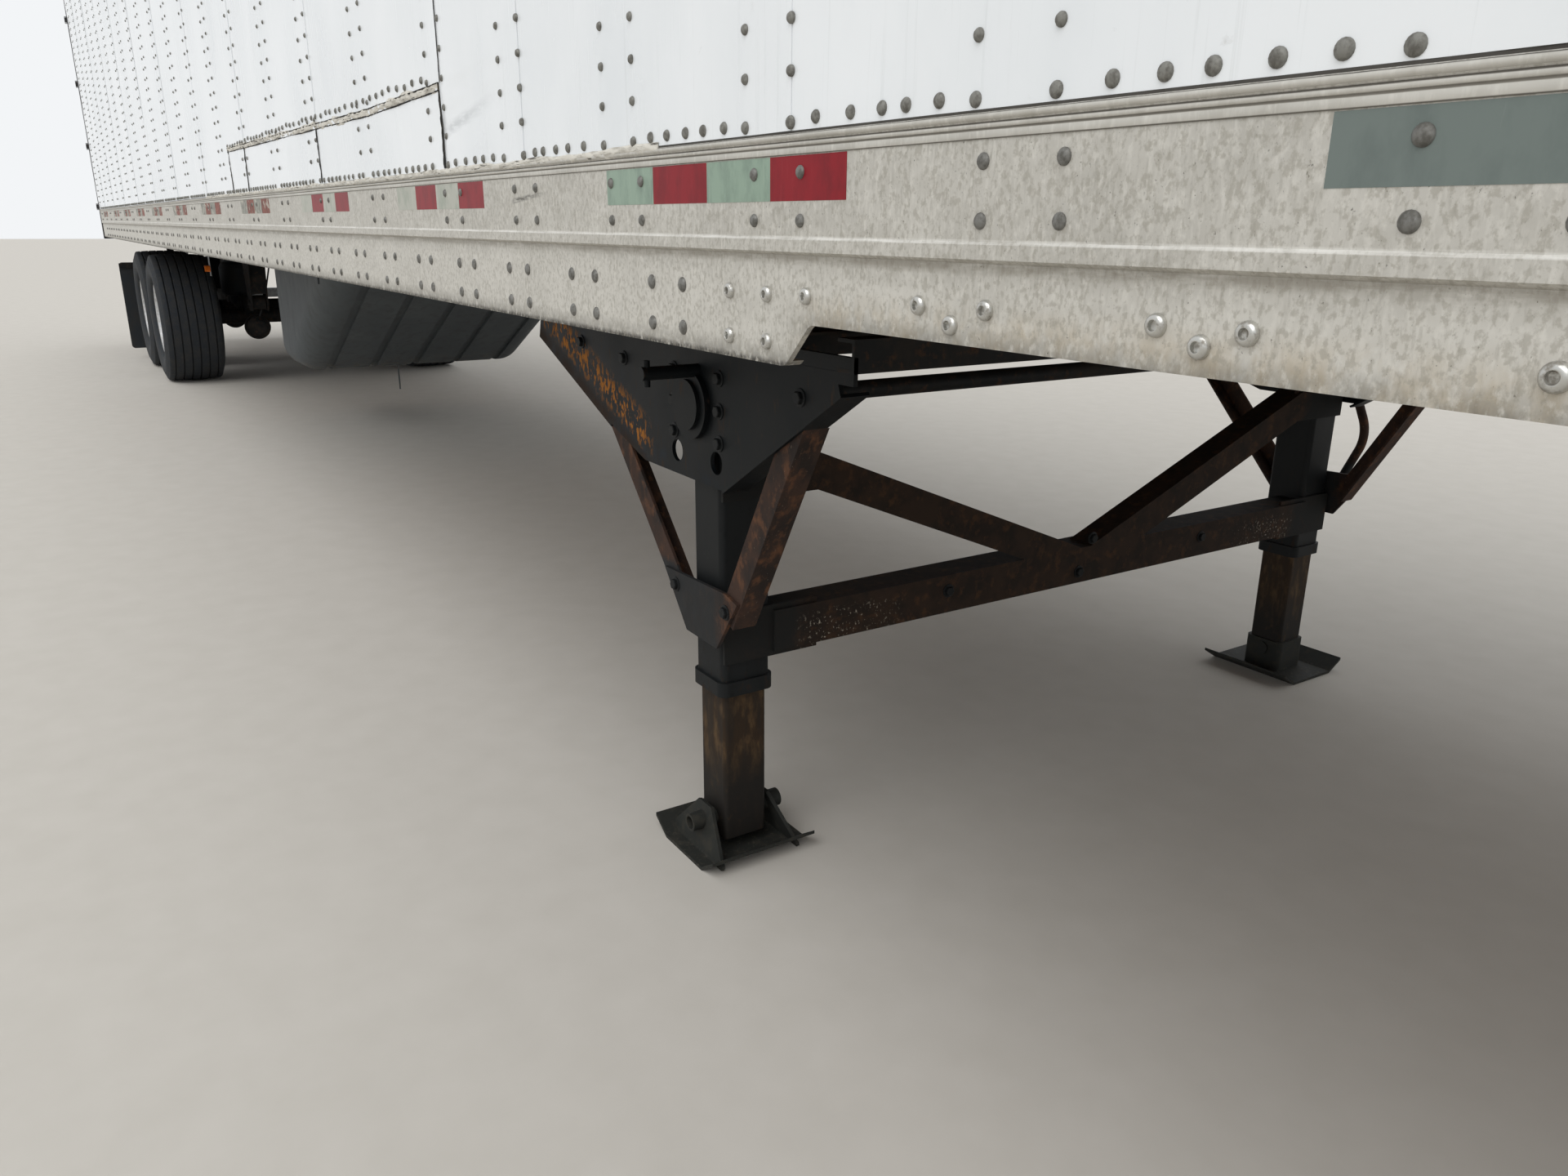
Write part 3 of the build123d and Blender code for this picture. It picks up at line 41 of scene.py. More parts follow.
rightSide, leftSide = -1, 1
sideNames = {rightSide: "right", leftSide: "left"}
random = np.random.default_rng(53)  # one seed, so every run gives the same places


# ---- shapes ----
# A shape is (points, list of face arrays), with its faces' corners counted from its own first point.

def gridQuads(rows, columns, closeRows=False, closeColumns=False):
    # corner numbers of the quads between neighbouring points of a grid
    row, column = np.meshgrid(
        np.arange(rows - (not closeRows)), np.arange(columns - (not closeColumns)), indexing="ij")
    nextRow, nextColumn = (row + 1) % rows, (column + 1) % columns
    corners = [row * columns + column, row * columns + nextColumn,
               nextRow * columns + nextColumn, nextRow * columns + column]
    return np.stack(corners, -1).reshape(-1, 4)


def circleAngles(count):
    return np.linspace(0, 2 * np.pi, count, endpoint=False)


def tubeShape(rings):
    # rings of points joined into a tube, with both ends closed by one face
    rows, count = rings.shape[:2]
    corners = np.arange(count)[None]
    faces = [gridQuads(rows, count, closeColumns=True), corners[:, ::-1], (rows - 1) * count + corners]
    return rings.reshape(-1, 3), faces


def revolveShape(profile, sides):
    # each (radius, height) of the profile is turned round the local z axis
    radius, height = np.array(profile, float).T
    turn = circleAngles(sides)
    across, upward = np.outer(radius, np.cos(turn)), np.outer(radius, np.sin(turn))
    return tubeShape(np.stack([across, upward, np.outer(height, np.ones(sides))], -1))


def outward(shape):
    # a closed shape's faces are turned round where its volume, the sum of a . (b x c) / 6, comes out negative
    points, faces = shape
    volume = 0.0
    for f in faces:
        for n in range(1, f.shape[1] - 1):
            volume += np.einsum("ij,ij->", points[f[:, 0]], np.cross(points[f[:, n]], points[f[:, n + 1]]))
    return points, (faces if volume > 0 else [f[:, ::-1] for f in faces])


def sweepShape(outline, path, up):
    # a closed outline (across, up) is carried along the path, square to it
    path, outline = np.array(path, float), np.array(outline, float)
    along = np.gradient(path, axis=0)
    along /= np.linalg.norm(along, axis=1)[:, None]
    across = np.cross(along, np.array(up, float))
    across /= np.linalg.norm(across, axis=1)[:, None]
    upward = np.cross(across, along)
    rings = path[:, None] + outline[None, :, :1] * across[:, None] + outline[None, :, 1:] * upward[:, None]
    return outward(tubeShape(rings))


def prismShape(outline, x0, x1):
    # an outline (y, z) carried along x
    count = len(outline)
    points = np.concatenate([np.column_stack([np.full(count, x), outline]) for x in (x0, x1)])
    corners = np.arange(count)[None]
    return outward((points, [gridQuads(2, count, closeColumns=True), corners, count + corners[:, ::-1]]))


def barShape(low, high, bevel):
    # a bar between two corners with all its long edges cut
    (x0, y0, z0), (x1, y1, z1) = low, high
    outline = [(y0 + bevel, z0), (y1 - bevel, z0), (y1, z0 + bevel), (y1, z1 - bevel),
               (y1 - bevel, z1), (y0 + bevel, z1), (y0, z1 - bevel), (y0, z0 + bevel)]
    return prismShape(np.array(outline), x0, x1)


def plateShape(front, back):
    # two grids of points, row for row, joined along their edges into a closed plate
    rows, columns = front.shape[:2]
    index = np.arange(rows * columns).reshape(rows, columns)
    edge = np.concatenate([index[0, :-1], index[:-1, -1], index[-1, :0:-1], index[:0:-1, 0]])
    after, behind = np.roll(edge, -1), rows * columns
    faces = gridQuads(rows, columns)
    rim = np.stack([edge, edge + behind, after + behind, after], -1)
    points = np.concatenate([front.reshape(-1, 3), back.reshape(-1, 3)])
    return outward((points, [faces, faces[:, ::-1] + behind, rim]))


def wallPlate(side, x, z, out, thickness):
    # a plate on a side wall: its front is at (x, side out, z), with out a distance from the middle of the trailer
    x, z, out = np.broadcast_arrays(x, z, out)
    return plateShape(np.stack([x, side * out, z], -1), np.stack([x, side * (out - thickness), z], -1))


beads = {"sides": 7, "step": 0.008, "swell": 0.16, "drift": 0.13, "unevenHeight": 0.45}


def beadShape(side, corners, width, height, base, seed):
    # a hand-laid bead on a side wall: across = -cos(a) width / 2, out = base + sin(a) height, both uneven along it
    corners = np.array(corners, float)
    length = np.append(0, np.cumsum(np.linalg.norm(np.diff(corners, axis=0), axis=1)))
    t = np.linspace(0, length[-1], max(4, int(length[-1] / beads["step"])))
    x, z = np.interp(t, length, corners[:, 0]), np.interp(t, length, corners[:, 1])
    along = np.stack([np.gradient(x, t), np.gradient(z, t)], -1)
    along /= np.linalg.norm(along, axis=1)[:, None]
    angle = np.linspace(0, np.pi, beads["sides"])[None]
    swell = 1 + beads["swell"] * wave(t[:, None], angle * 0.03, 0.09, seed)
    drift = beads["drift"] * width * wave(t[:, None], angle * 0.01, 0.16, seed + 1)
    across = -np.cos(angle) * width / 2 * swell.clip(0.5, 1.5) + drift
    uneven = (1 + beads["unevenHeight"] * wave(t[:, None], angle * 0.02, 0.03, seed + 2)).clip(0.2, 1.8)
    out = base + np.sin(angle) * height * uneven
    rings = [x[:, None] - across * along[:, 1:], side * out, z[:, None] + across * along[:, :1]]
    return outward(tubeShape(np.stack(rings, -1)))


def joinShapes(shapes):
    points, faces, start = [], [], 0
    for shapePoints, shapeFaces in shapes:
        points.append(shapePoints)
        faces += [f + start for f in shapeFaces]
        start += len(shapePoints)
    return np.concatenate(points), faces


def copyShape(shape, places, axes=np.eye(3)):
    # one small shape at many places; axes' rows are where its x, y and z point
    points, faces = shape
    places = np.array(places, float).reshape(-1, 3)
    moved = points @ np.array(axes, float) + places[:, None]
    steps = np.arange(len(places))[:, None, None] * len(points)
    return moved.reshape(-1, 3), [(f[None] + steps).reshape(-1, f.shape[1]) for f in faces]


def onSide(shape, side, xz, y):
    # copies of a shape at places (x, z) on a side wall, y from the middle, with its z pointing out
    xz = np.array(xz, float).reshape(-1, 2)
    places = np.column_stack([xz[:, 0], side * np.broadcast_to(y, len(xz)), xz[:, 1]])
    return copyShape(shape, places, [(-side, 0, 0), (0, 0, 1), (0, side, 0)])


def makePiece(name, shape, finish, sharpAngle=35, body="chassis"):
    # a mesh from one shape or a list of them, smooth but for edges sharper than that angle
    points, faces = joinShapes(shape) if isinstance(shape, list) else shape
    mesh = bpy.data.meshes.new(name)
    corners = np.concatenate([f.ravel() for f in faces])
    sizes = np.concatenate([np.full(len(f), f.shape[1]) for f in faces])
    mesh.vertices.add(len(points))
    mesh.vertices.foreach_set("co", np.asarray(points, np.float32).ravel())
    mesh.loops.add(len(corners))
    mesh.loops.foreach_set("vertex_index", corners.astype(np.int32))
    mesh.polygons.add(len(sizes))
    mesh.polygons.foreach_set("loop_start", (np.cumsum(sizes) - sizes).astype(np.int32))
    mesh.polygons.foreach_set("use_smooth", np.ones(len(sizes), bool))
    mesh.update(calc_edges=True)
    mesh.validate()
    mesh.set_sharp_from_angle(angle=math.radians(sharpAngle))
    mesh.materials.append(finishes[finish])
    piece = addObject(name, mesh)
    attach(piece, body)
    return piece


def wave(x, z, size, seed, count=14):
    # a smooth random height between about -1 and 1: a sum of sines whose lengths are near size
    draw = np.random.default_rng(seed)
    angles, phases = draw.uniform(0, np.pi, count), draw.uniform(0, 2 * np.pi, count)
    total = np.zeros(np.broadcast(x, z).shape)
    for angle, phase, stretch in zip(angles, phases, draw.uniform(0.6, 1.8, count)):
        total += np.sin((x * np.cos(angle) + z * np.sin(angle)) * 2 * np.pi / (size * stretch) + phase)
    return total / math.sqrt(count)


def addObject(name, data):
    thing = bpy.data.objects.new(name, data)
    bpy.context.scene.collection.objects.link(thing)
    return thing


# ---- materials ----

def linearColour(hexText):
    # sRGB hex to the linear values that a shader reads
    channels = np.array([int(hexText[n:n + 2], 16) / 255 for n in (0, 2, 4)])
    linear = np.where(channels <= 0.04045, channels / 12.92, ((channels + 0.055) / 1.055) ** 2.4)
    return (*linear, 1.0)


def addNode(tree, kind, settings=None, links=None):
    # settings are the node's own properties or its inputs' values, links are {input: (node, output)}
    node = tree.nodes.new("ShaderNode" + kind)
    for name, value in (settings or {}).items():
        if isinstance(name, str) and hasattr(node, name):
            setattr(node, name, value)
        else:
            node.inputs[name].default_value = value
    for name, (source, output) in (links or {}).items():
        tree.links.new(source.outputs[output], node.inputs[name])
    return node


def emptyTree(owner):
    owner.use_nodes = True
    owner.node_tree.nodes.clear()
    return owner.node_tree


def noiseAt(tree, place, size, settings):
    # noise in the object's own place, with spots of that size in mm along x, y and z
    scale = {"Scale": [1000 / s for s in size]}
    stretch = addNode(tree, "Mapping", scale, {"Vector": (place, "Object")})
    return addNode(tree, "TexNoise", {"Scale": 1.0, **settings}, {"Vector": (stretch, 0)})


def layerMask(tree, place, layer):
    # how much of a layer shows: noise, kept where it passes from the first value of spread to the second,
    # and faded by bands (direction, none here, full here) and by rings (axle, none here, full here)
    noise = noiseAt(tree, place, layer["size"], {"Detail": 5.0, "Roughness": 0.6})
    none, full = layer["spread"]
    mask = addNode(tree, "MapRange", {
        "From Min": none, "From Max": full, "To Max": layer["share"],
    }, {"Value": (noise, 0)})
    fades = []
    for direction, none, full in layer.get("bands", []):
        along = addNode(tree, "VectorMath", {"operation": "DOT_PRODUCT", 1: direction},
                        {0: (place, "Object")})
        frayed = addNode(tree, "Math", {"operation": "MULTIPLY_ADD", 1: layer.get("fray", 0.03)},
                         {0: (noise, 0), 2: (along, "Value")})
        fades.append((frayed, none, full))
    for (axleX, axleZ), none, full in layer.get("rings", []):
        offset = addNode(tree, "VectorMath", {"operation": "SUBTRACT", 1: (axleX, 0, axleZ)},
                         {0: (place, "Object")})
        flat = addNode(tree, "VectorMath", {"operation": "MULTIPLY", 1: (1, 0, 1)}, {0: (offset, 0)})
        radius = addNode(tree, "VectorMath", {"operation": "LENGTH"}, {0: (flat, 0)})
        fades.append((radius, none, full))
    for source, none, full in fades:
        fade = addNode(tree, "MapRange", {"From Min": none, "From Max": full}, {"Value": (source, "Value")})
        mask = addNode(tree, "Math", {"operation": "MULTIPLY"}, {0: (mask, 0), 1: (fade, 0)})
    return mask


def makeFinish(name, look):
    # A base with layers over it. Each layer mixes its colour, and its roughness and metal where it has them,
    # over what is below by its own mask. Bump is the grain's height and the layers' heights, in mm.
    material = bpy.data.materials.new(name)
    tree = emptyTree(material)
    place = addNode(tree, "TexCoord")
    metallic = look.get("metallic", 0.0)
    shader = addNode(tree, "BsdfPrincipled", {
        "Base Color": linearColour(look["base"]), "Roughness": look["roughness"], "Metallic": metallic,
        "Coat Weight": look.get("coat", 0.0), "Coat Roughness": 0.1,
        "Transmission Weight": look.get("clear", 0.0), "Specular IOR Level": look.get("specular", 0.5),
    })
    if "index" in look:
        shader.inputs["IOR"].default_value = look["index"]
    addNode(tree, "OutputMaterial", None, {"Surface": (shader, 0)})
    grainSize, grainHeight = look["grain"]
    grain = noiseAt(tree, place, spotSize(grainSize), {"Detail": 3.0})
    height = addNode(tree, "Math", {"operation": "MULTIPLY", 1: grainHeight}, {0: (grain, 0)})
    # what each socket has so far, with the numbers of a mix node's sockets for what is below, over it and out
    sockets = {
        "colour": ["Base Color", linearColour(look["base"]), "RGBA", (6, 7, 2)],
        "roughness": ["Roughness", look["roughness"], "FLOAT", (2, 3, 0)],
        "metallic": ["Metallic", metallic, "FLOAT", (2, 3, 0)],
    }
    mixed = {}
    for layer in look["layers"]:
        mask = layerMask(tree, place, layer)
        for key, (socket, base, kind, (below, over, out)) in sockets.items():
            if key not in layer:
                continue
            value = linearColour(layer[key]) if key == "colour" else layer[key]
            settings, links = {"data_type": kind, over: value}, {0: (mask, 0)}
            if key in mixed:
                links[below] = mixed[key]
            else:
                settings[below] = base
            mix = addNode(tree, "Mix", settings, links)
            mixed[key] = (mix, out)
            tree.links.new(mix.outputs[out], shader.inputs[socket])
        if "height" in layer:
            height = addNode(tree, "Math", {"operation": "MULTIPLY_ADD", 1: layer["height"]},
                             {0: (mask, 0), 2: (height, 0)})
    bump = addNode(tree, "Bump", {"Distance": 0.001, "Strength": 1.0}, {"Height": (height, 0)})
    tree.links.new(bump.outputs[0], shader.inputs["Normal"])
    return material


def spotSize(size):
    # a number counts for all three directions, and a pair is (level, up)
    size = size if isinstance(size, tuple) else (size,)
    return size if len(size) == 3 else (size[0], size[0], size[-1])


def layer(colour, size, spread, share, **more):
    return {"colour": colour, "size": spotSize(size), "spread": spread, "share": share, **more}


def bothSides(*values, bands, **more):
    # one layer for each side of the trailer, with "out" in its bands as the way out of that side
    return [layer(*values, **more, bands=[((0, side, 0) if way == "out" else way, *fade) for way, *fade in bands])
            for side in sideNames]


axleHeight = 0.513
axlePlaces = {"front": -4.48, "rear": -5.725}

# Directions of bands: straight ones, and square to the first dent, the wing plates' edge and a scrape in the rail
up, ahead, left, right = (0, 0, 1), (1, 0, 0), (0, 1, 0), (0, -1, 0)
dentSlope, plateSlope, scrapeSlope = (-0.139, 0, 0.99), (0.378, 0, 0.926), (-0.077, 0, 0.997)

# A layer is: colour, size of its spots in mm, spread, share, and what else it changes
looks = {
    # baked polyester on aluminium sheet: smooth gloss white, filmed by road dirt that runs down in streaks
    "bakedWhiteSheet": dict(base="f2f5f7", roughness=0.22, index=1.5, coat=0.3, grain=(3, 0.004), layers=[
        layer("e2e7ea", (420, 900), (0.42, 0.72), 0.7, roughness=0.34),
        layer("c9cdcd", (8, 420), (0.6, 0.76), 0.35, roughness=0.5),
        layer("a09f9a", (22, 30), (0.69, 0.77), 0.3, roughness=0.6),
        # a grey band painted along the first dent, as its shade
        layer("b4b8ba", (50, 10), (0.3, 0.55), 0.6, fray=0.006,
              bands=[(ahead, 3.885, 3.93), (ahead, 4.22, 4.02), (dentSlope, 0.9, 0.915), (dentSlope, 0.934, 0.92)]),
    ]),
    # extruded aluminium, mill finish, oxidised outdoors: dull grey-beige, pale runs, grime at its lower edge
    "millAluminium": dict(base="bcb9b1", roughness=0.5, metallic=0.3, grain=((2, 4), 0.03), layers=[
        layer("cbc8c0", (150, 110), (0.38, 0.62), 0.8),
        layer("a8a49a", (34, 30), (0.48, 0.7), 0.35, roughness=0.6),
        layer("dcd9d1", (60, 90), (0.2, 0.55), 0.5, bands=[(up, 1.256, 1.24)]),
        layer("d9d6ce", (7, 26), (0.5, 0.68), 0.55),
        layer("98948a", (5, 22), (0.55, 0.74), 0.5, roughness=0.65),
        layer("b09c78", (26, 40), (0.4, 0.66), 0.5, bands=[(up, 1.235, 1.205), (ahead, 5.2, 5.3)]),
        layer("6a6760", (16, 22), (0.25, 0.6), 0.8, roughness=0.75, bands=[(up, 1.162, 1.138)]),
        layer("3f3c37", (12, 9), (0.2, 0.5), 0.85, roughness=0.8, fray=0.008, bands=[(up, 1.1305, 1.1245)]),
        layer("6c6962", (16, 22), (0.25, 0.6), 0.8, roughness=0.75, bands=[(up, 1.21, 1.188), (ahead, 5.2, 5.26)]),
        layer("57534b", (3.5, 5), (0.66, 0.72), 0.75, roughness=0.8),
        layer("9c978b", (6, 8), (0.5, 0.6), 0.5),
        layer("dad7cf", (9, 14), (0.54, 0.66), 0.5),
        # a pale line painted along the top of the rail's bead, as its highlight
        layer("efede7", (80, 4), (0.3, 0.6), 0.6, fray=0.001, bands=[(up, 1.2722, 1.2738), (up, 1.2778, 1.2762)]),
        # a dark brownish line painted just under the rail's bead, as its shadow
        layer("857e71", (60, 10), (0.25, 0.55), 0.6, fray=0.003, bands=[(up, 1.243, 1.251), (up, 1.258, 1.255)]),
        layer("4c4942", (40, 7), (0.4, 0.55), 0.85, fray=0.003,
              bands=[(ahead, 4.255, 4.268), (ahead, 4.44, 4.34), (scrapeSlope, 0.9915, 0.996),
              (scrapeSlope, 1.003, 0.9985)]),
    ]),
    # upset aluminium rivet: dull grey dome with dirt round its foot
    "rivetAluminium": dict(base="7c7b77", roughness=0.5, metallic=0.4, grain=(2, 0.03), layers=[
        layer("5b5953", (7, 9), (0.42, 0.62), 0.85, roughness=0.7),
    ]),
    # the sheets' rivets, with road dirt held on and round them
    "rivetDirty": dict(base="83827c", roughness=0.6, metallic=0.3, grain=(2, 0.05), layers=[
        layer("5c5953", (6, 8), (0.42, 0.62), 0.8, roughness=0.75),
        layer("8d8b84", 9, (0.56, 0.68), 0.6),
    ]),
    # zinc-plated steel lock bolt
    "bolts": dict(base="c3c2bd", roughness=0.3, metallic=0.9, grain=(1.5, 0.03), layers=[
        layer("6e6556", 9, (0.52, 0.66), 0.7, roughness=0.7, metallic=0.2),
    ]),
    # painted steel plate, blue-black, with rust that breaks through along the sloping edge
    "paintedPlate": dict(specular=0.16, base="0d1012", roughness=0.48, grain=(3, 0.08), layers=[
        layer("15191b", (120, 160), (0.42, 0.66), 0.8, roughness=0.58),
        layer("0c1824", (30, 45), (0.5, 0.66), 0.7, bands=[(plateSlope, 2.56, 2.47)]),
        layer("33261d", 60, (0.3, 0.6), 0.9, roughness=0.85, bands=[(plateSlope, 2.41, 2.385), (ahead, 4.36, 4.3)]),
        layer("a86d30", (15, 26), (0.5, 0.56), 0.95, roughness=0.9, height=0.4, fray=0.06,
              bands=[(plateSlope, 2.51, 2.475), (plateSlope, 2.42, 2.445), (ahead, 4.36, 4.3)]),
        layer("4a3829", (14, 60), (0.6, 0.72), 0.5, roughness=0.85),
    ]),
    # hot-rolled steel angle, long bare: brown rust with dark scale and a few orange spots
    "rustyAngle": dict(specular=0.25, base="43322a", roughness=0.82, metallic=0.1, grain=(2.5, 0.12), layers=[
        layer("241f1d", (50, 90), (0.42, 0.62), 0.85, roughness=0.7),
        layer("6e4a33", (22, 36), (0.52, 0.68), 0.7, height=0.2),
        layer("8d8272", (5, 8), (0.66, 0.72), 0.5),
        # the brackets outside the braces' feet are in plate paint
        *bothSides("292b2c", 30, (0.1, 0.3), 0.92, fray=0.002,
              bands=[(up, 0.625, 0.612), (ahead, 4.61, 4.56), ("out", 1.036, 1.041)]),
    ]),
    # the cross brace is the same steel, splashed with pale dried mud near the legs
    "muddyAngle": dict(specular=0.25, base="33261d", roughness=0.8, metallic=0.1, grain=(2.5, 0.12), layers=[
        layer("211b17", 60, (0.42, 0.62), 0.8),
        layer("513723", 26, (0.54, 0.68), 0.6, height=0.2),
        *bothSides("1d1f1f", 40, (0.2, 0.4), 0.9, bands=[("out", 0.83, 0.88)]),
        *bothSides("b3aa9b", (6, 7), (0.6, 0.66), 0.8,
              bands=[("out", 0.58, 0.72), ("out", 0.88, 0.82), (up, 0.545, 0.525)]),
    ]),
    # square steel tube, sprayed dark grey and dulled
    "legPaint": dict(specular=0.16, base="191b1c", roughness=0.5, grain=(3, 0.06), layers=[
        layer("1f2122", (60, 220), (0.42, 0.62), 0.8, roughness=0.6),
        layer("33271f", (20, 50), (0.56, 0.68), 0.7, roughness=0.85, bands=[(up, 0.7, 0.4)]),
        layer("111314", (18, 24), (0.6, 0.7), 0.6, roughness=0.35),
    ]),
    # the sliding inner tube: greased and rusted brown, dark where the ground splashes it
    "ramSteel": dict(specular=0.2, base="35291e", roughness=0.7, metallic=0.1, grain=((2, 6), 0.08), layers=[
        layer("5c4831", (24, 60), (0.46, 0.64), 0.8),
        layer("2b2520", (20, 120), (0.46, 0.62), 0.8),
        layer("201e1c", 30, (0.2, 0.45), 0.95, roughness=0.6, bands=[(up, 0.26, 0.17)]),
    ]),
    # cast steel sand shoes, scuffed, with mud at their edge
    "shoeSteel": dict(specular=0.25, base="292a27", roughness=0.7, metallic=0.1, grain=(3, 0.12), layers=[
        layer("3d3a33", 26, (0.48, 0.64), 0.6, roughness=0.9),
        layer("8b8273", 10, (0.55, 0.7), 0.6, bands=[(up, 0.035, 0.005)]),
    ]),
    # underbody steel in black chassis paint, dusted
    "chassisPaint": dict(specular=0.16, base="1b1c1d", roughness=0.55, grain=(3, 0.08), layers=[
        layer("35302b", 80, (0.44, 0.64), 0.7, roughness=0.8),
        layer("513a29", 24, (0.56, 0.68), 0.6, roughness=0.9),
    ]),
    # cast iron drum and hub inside a bright forged aluminium disc wheel
    "forgedWheel": dict(base="e6e7e8", roughness=0.3, metallic=0.55, grain=(1.2, 0.01), layers=[
        layer("a9a49b", 40, (0.45, 0.68), 0.6, roughness=0.55, metallic=0.5),
        *[layer("4b3c31", 14, (0.0, 0.2), 1.0, roughness=0.8, metallic=0.3, fray=0.0,
              bands=[(right, 1.03, 1.01), (left, 1.03, 1.01)], rings=[((axleX, axleHeight), 0.228, 0.222)])
          for axleX in axlePlaces.values()],
    ]),
    # carbon-black tread rubber, greyed by dust and drying
    "treadRubber": dict(specular=0.3, base="2a2e33", roughness=0.82, index=1.52, grain=(2, 0.08), layers=[
        layer("3b3a38", 60, (0.4, 0.66), 0.7, roughness=0.9),
        layer("565049", 16, (0.58, 0.74), 0.5, roughness=0.95),
    ]),
    # moulded rubber of flaps, bumpers, air springs and hoses
    "flapRubber": dict(specular=0.3, base="24282c", roughness=0.7, index=1.52, grain=(4, 0.08), layers=[
        layer("33312e", (90, 140), (0.45, 0.66), 0.7, roughness=0.9),
    ]),
    # rotomoulded polyethylene: matte grey with a faint orange-peel skin and road film
    "mouldedGrey": dict(specular=0.25, base="4c5154", roughness=0.62, index=1.51, grain=(6, 0.06), layers=[
        layer("565b5d", (240, 300), (0.42, 0.64), 0.7),
        layer("4b4c4c", (50, 180), (0.5, 0.7), 0.6, roughness=0.75),
        layer("6a6258", (60, 40), (0.45, 0.65), 0.6, bands=[(up, 0.5, 0.4)]),
    ]),
    # hot-dip zinc on the door gear, dulled
    "dullZinc": dict(base="9b9d9e", roughness=0.45, metallic=0.75, grain=(8, 0.03), layers=[
        layer("7f8182", 24, (0.45, 0.62), 0.7, roughness=0.55),
        layer("765b41", (12, 30), (0.62, 0.7), 0.6, roughness=0.85, metallic=0.2),
    ]),
    # laminated oak and maple planks
    "oakDeck": dict(base="8d6b45", roughness=0.6, grain=((300, 3, 3), 0.2), layers=[
        layer("a98558", (900, 30, 30), (0.42, 0.6), 0.8),
        layer("5b4128", (400, 5, 5), (0.55, 0.7), 0.6),
        layer("4a3d31", 160, (0.55, 0.7), 0.5, roughness=0.8),
    ]),
    # greased steel plate and forged pin
    "greasedSteel": dict(base="3a3835", roughness=0.35, metallic=0.6, grain=(6, 0.05), layers=[
        layer("1d1b19", 70, (0.42, 0.6), 0.85, roughness=0.25),
        layer("6a4b33", 20, (0.58, 0.7), 0.6, roughness=0.8, metallic=0.1),
    ]),
    # moulded acrylic lenses, amber
    "amberLens": dict(base="ee7a1c", roughness=0.18, index=1.49, clear=0.25, grain=(2, 0.05), layers=[
        layer("c9601a", 12, (0.5, 0.7), 0.5),
    ]),
    # the red lenses, of the same acrylic
    "redLens": dict(base="a5141a", roughness=0.18, index=1.49, clear=0.2, grain=(2, 0.05), layers=[
        layer("7c0f14", 12, (0.5, 0.7), 0.5),
    ]),
    # microprism reflective film: greyed silver, and red
    "silverFilm": dict(base="8fa593", roughness=0.35, metallic=0.25, index=1.5, grain=(4, 0.03), layers=[
        layer("768a7c", (30, 60), (0.44, 0.62), 0.7),
        layer("a9bba9", (8, 60), (0.58, 0.72), 0.4),
    ]),
    # silver film bleached by the sun
    "agedFilm": dict(specular=0.3, base="b6b7ad", roughness=0.5, index=1.5, grain=(4, 0.03), layers=[
        layer("9aa295", (40, 60), (0.46, 0.62), 0.7),
        layer("cfcdc3", (10, 30), (0.56, 0.7), 0.5),
    ]),
    # the silver film by the nose is greyer
    "noseFilm": dict(specular=0.25, base="737d79", roughness=0.45, index=1.5, grain=(4, 0.03), layers=[
        layer("66706d", (30, 60), (0.44, 0.62), 0.6),
        layer("929b94", (5, 70), (0.66, 0.76), 0.6),
    ]),
    # the red blocks near the nose
    "redFilm": dict(specular=0.2, base="8c1622", roughness=0.42, index=1.5, grain=(4, 0.03), layers=[
        layer("74141e", (30, 60), (0.44, 0.62), 0.7),
        layer("9a3038", (8, 60), (0.6, 0.72), 0.4),
    ]),
    # the same films after years of sun and washing: chalky, lifted in patches down to the metal
    "wornFilm": dict(base="9b9b92", roughness=0.6, index=1.5, grain=(4, 0.06), layers=[
        layer("6b6a62", (24, 40), (0.46, 0.58), 0.8),
        layer("b9b5aa", (40, 30), (0.54, 0.58), 0.9),
    ]),
    # red film, faded to brown
    "brownFilm": dict(base="8c5347", roughness=0.65, index=1.5, grain=(4, 0.06), layers=[
        layer("5e3a31", (24, 40), (0.46, 0.58), 0.8),
        layer("b3aca0", (40, 30), (0.56, 0.6), 0.9),
    ]),
    # black butyl pressed into the joints
    "darkSealant": dict(specular=0.2, base="2b2a28", roughness=0.75, grain=(5, 0.3), layers=[
        layer("5a554c", 14, (0.52, 0.66), 0.7, roughness=0.9),
    ]),
    # old butyl sealant: grey-beige, cracked, dirt in its folds
    "oldSealant": dict(base="d9d5cb", roughness=0.8, grain=(5, 0.5), layers=[
        layer("aaa59a", (40, 8), (0.48, 0.62), 0.7, height=-1.0),
        layer("4a463f", (60, 4), (0.6, 0.66), 0.9, height=-1.5),
    ]),
}
# the rail's lip is the same metal, with dark lines painted in its grooves as their shade: each line's middle height,
# half width and colour
lipShadeLines = [(1.3932, 0.0018, "2f2b26"), (1.3836, 0.0011, "4a453d"),
            (1.3772, 0.0007, "6b665c"), (1.3683, 0.0008, "59554c")]
lipFade = 0.0007
lipShadeLayers = [
    layer(colour, 60, (0.1, 0.3), 0.9, roughness=0.8, fray=0.0008,
          bands=[(up, middle - half - lipFade, middle - half), (up, middle + half + lipFade, middle + half)])
    for middle, half, colour in lipShadeLines]
looks["lipAluminium"] = {**looks["millAluminium"], "layers": looks["millAluminium"]["layers"][:4] + lipShadeLayers}
finishes = {name: makeFinish(name, look) for name, look in looks.items()}

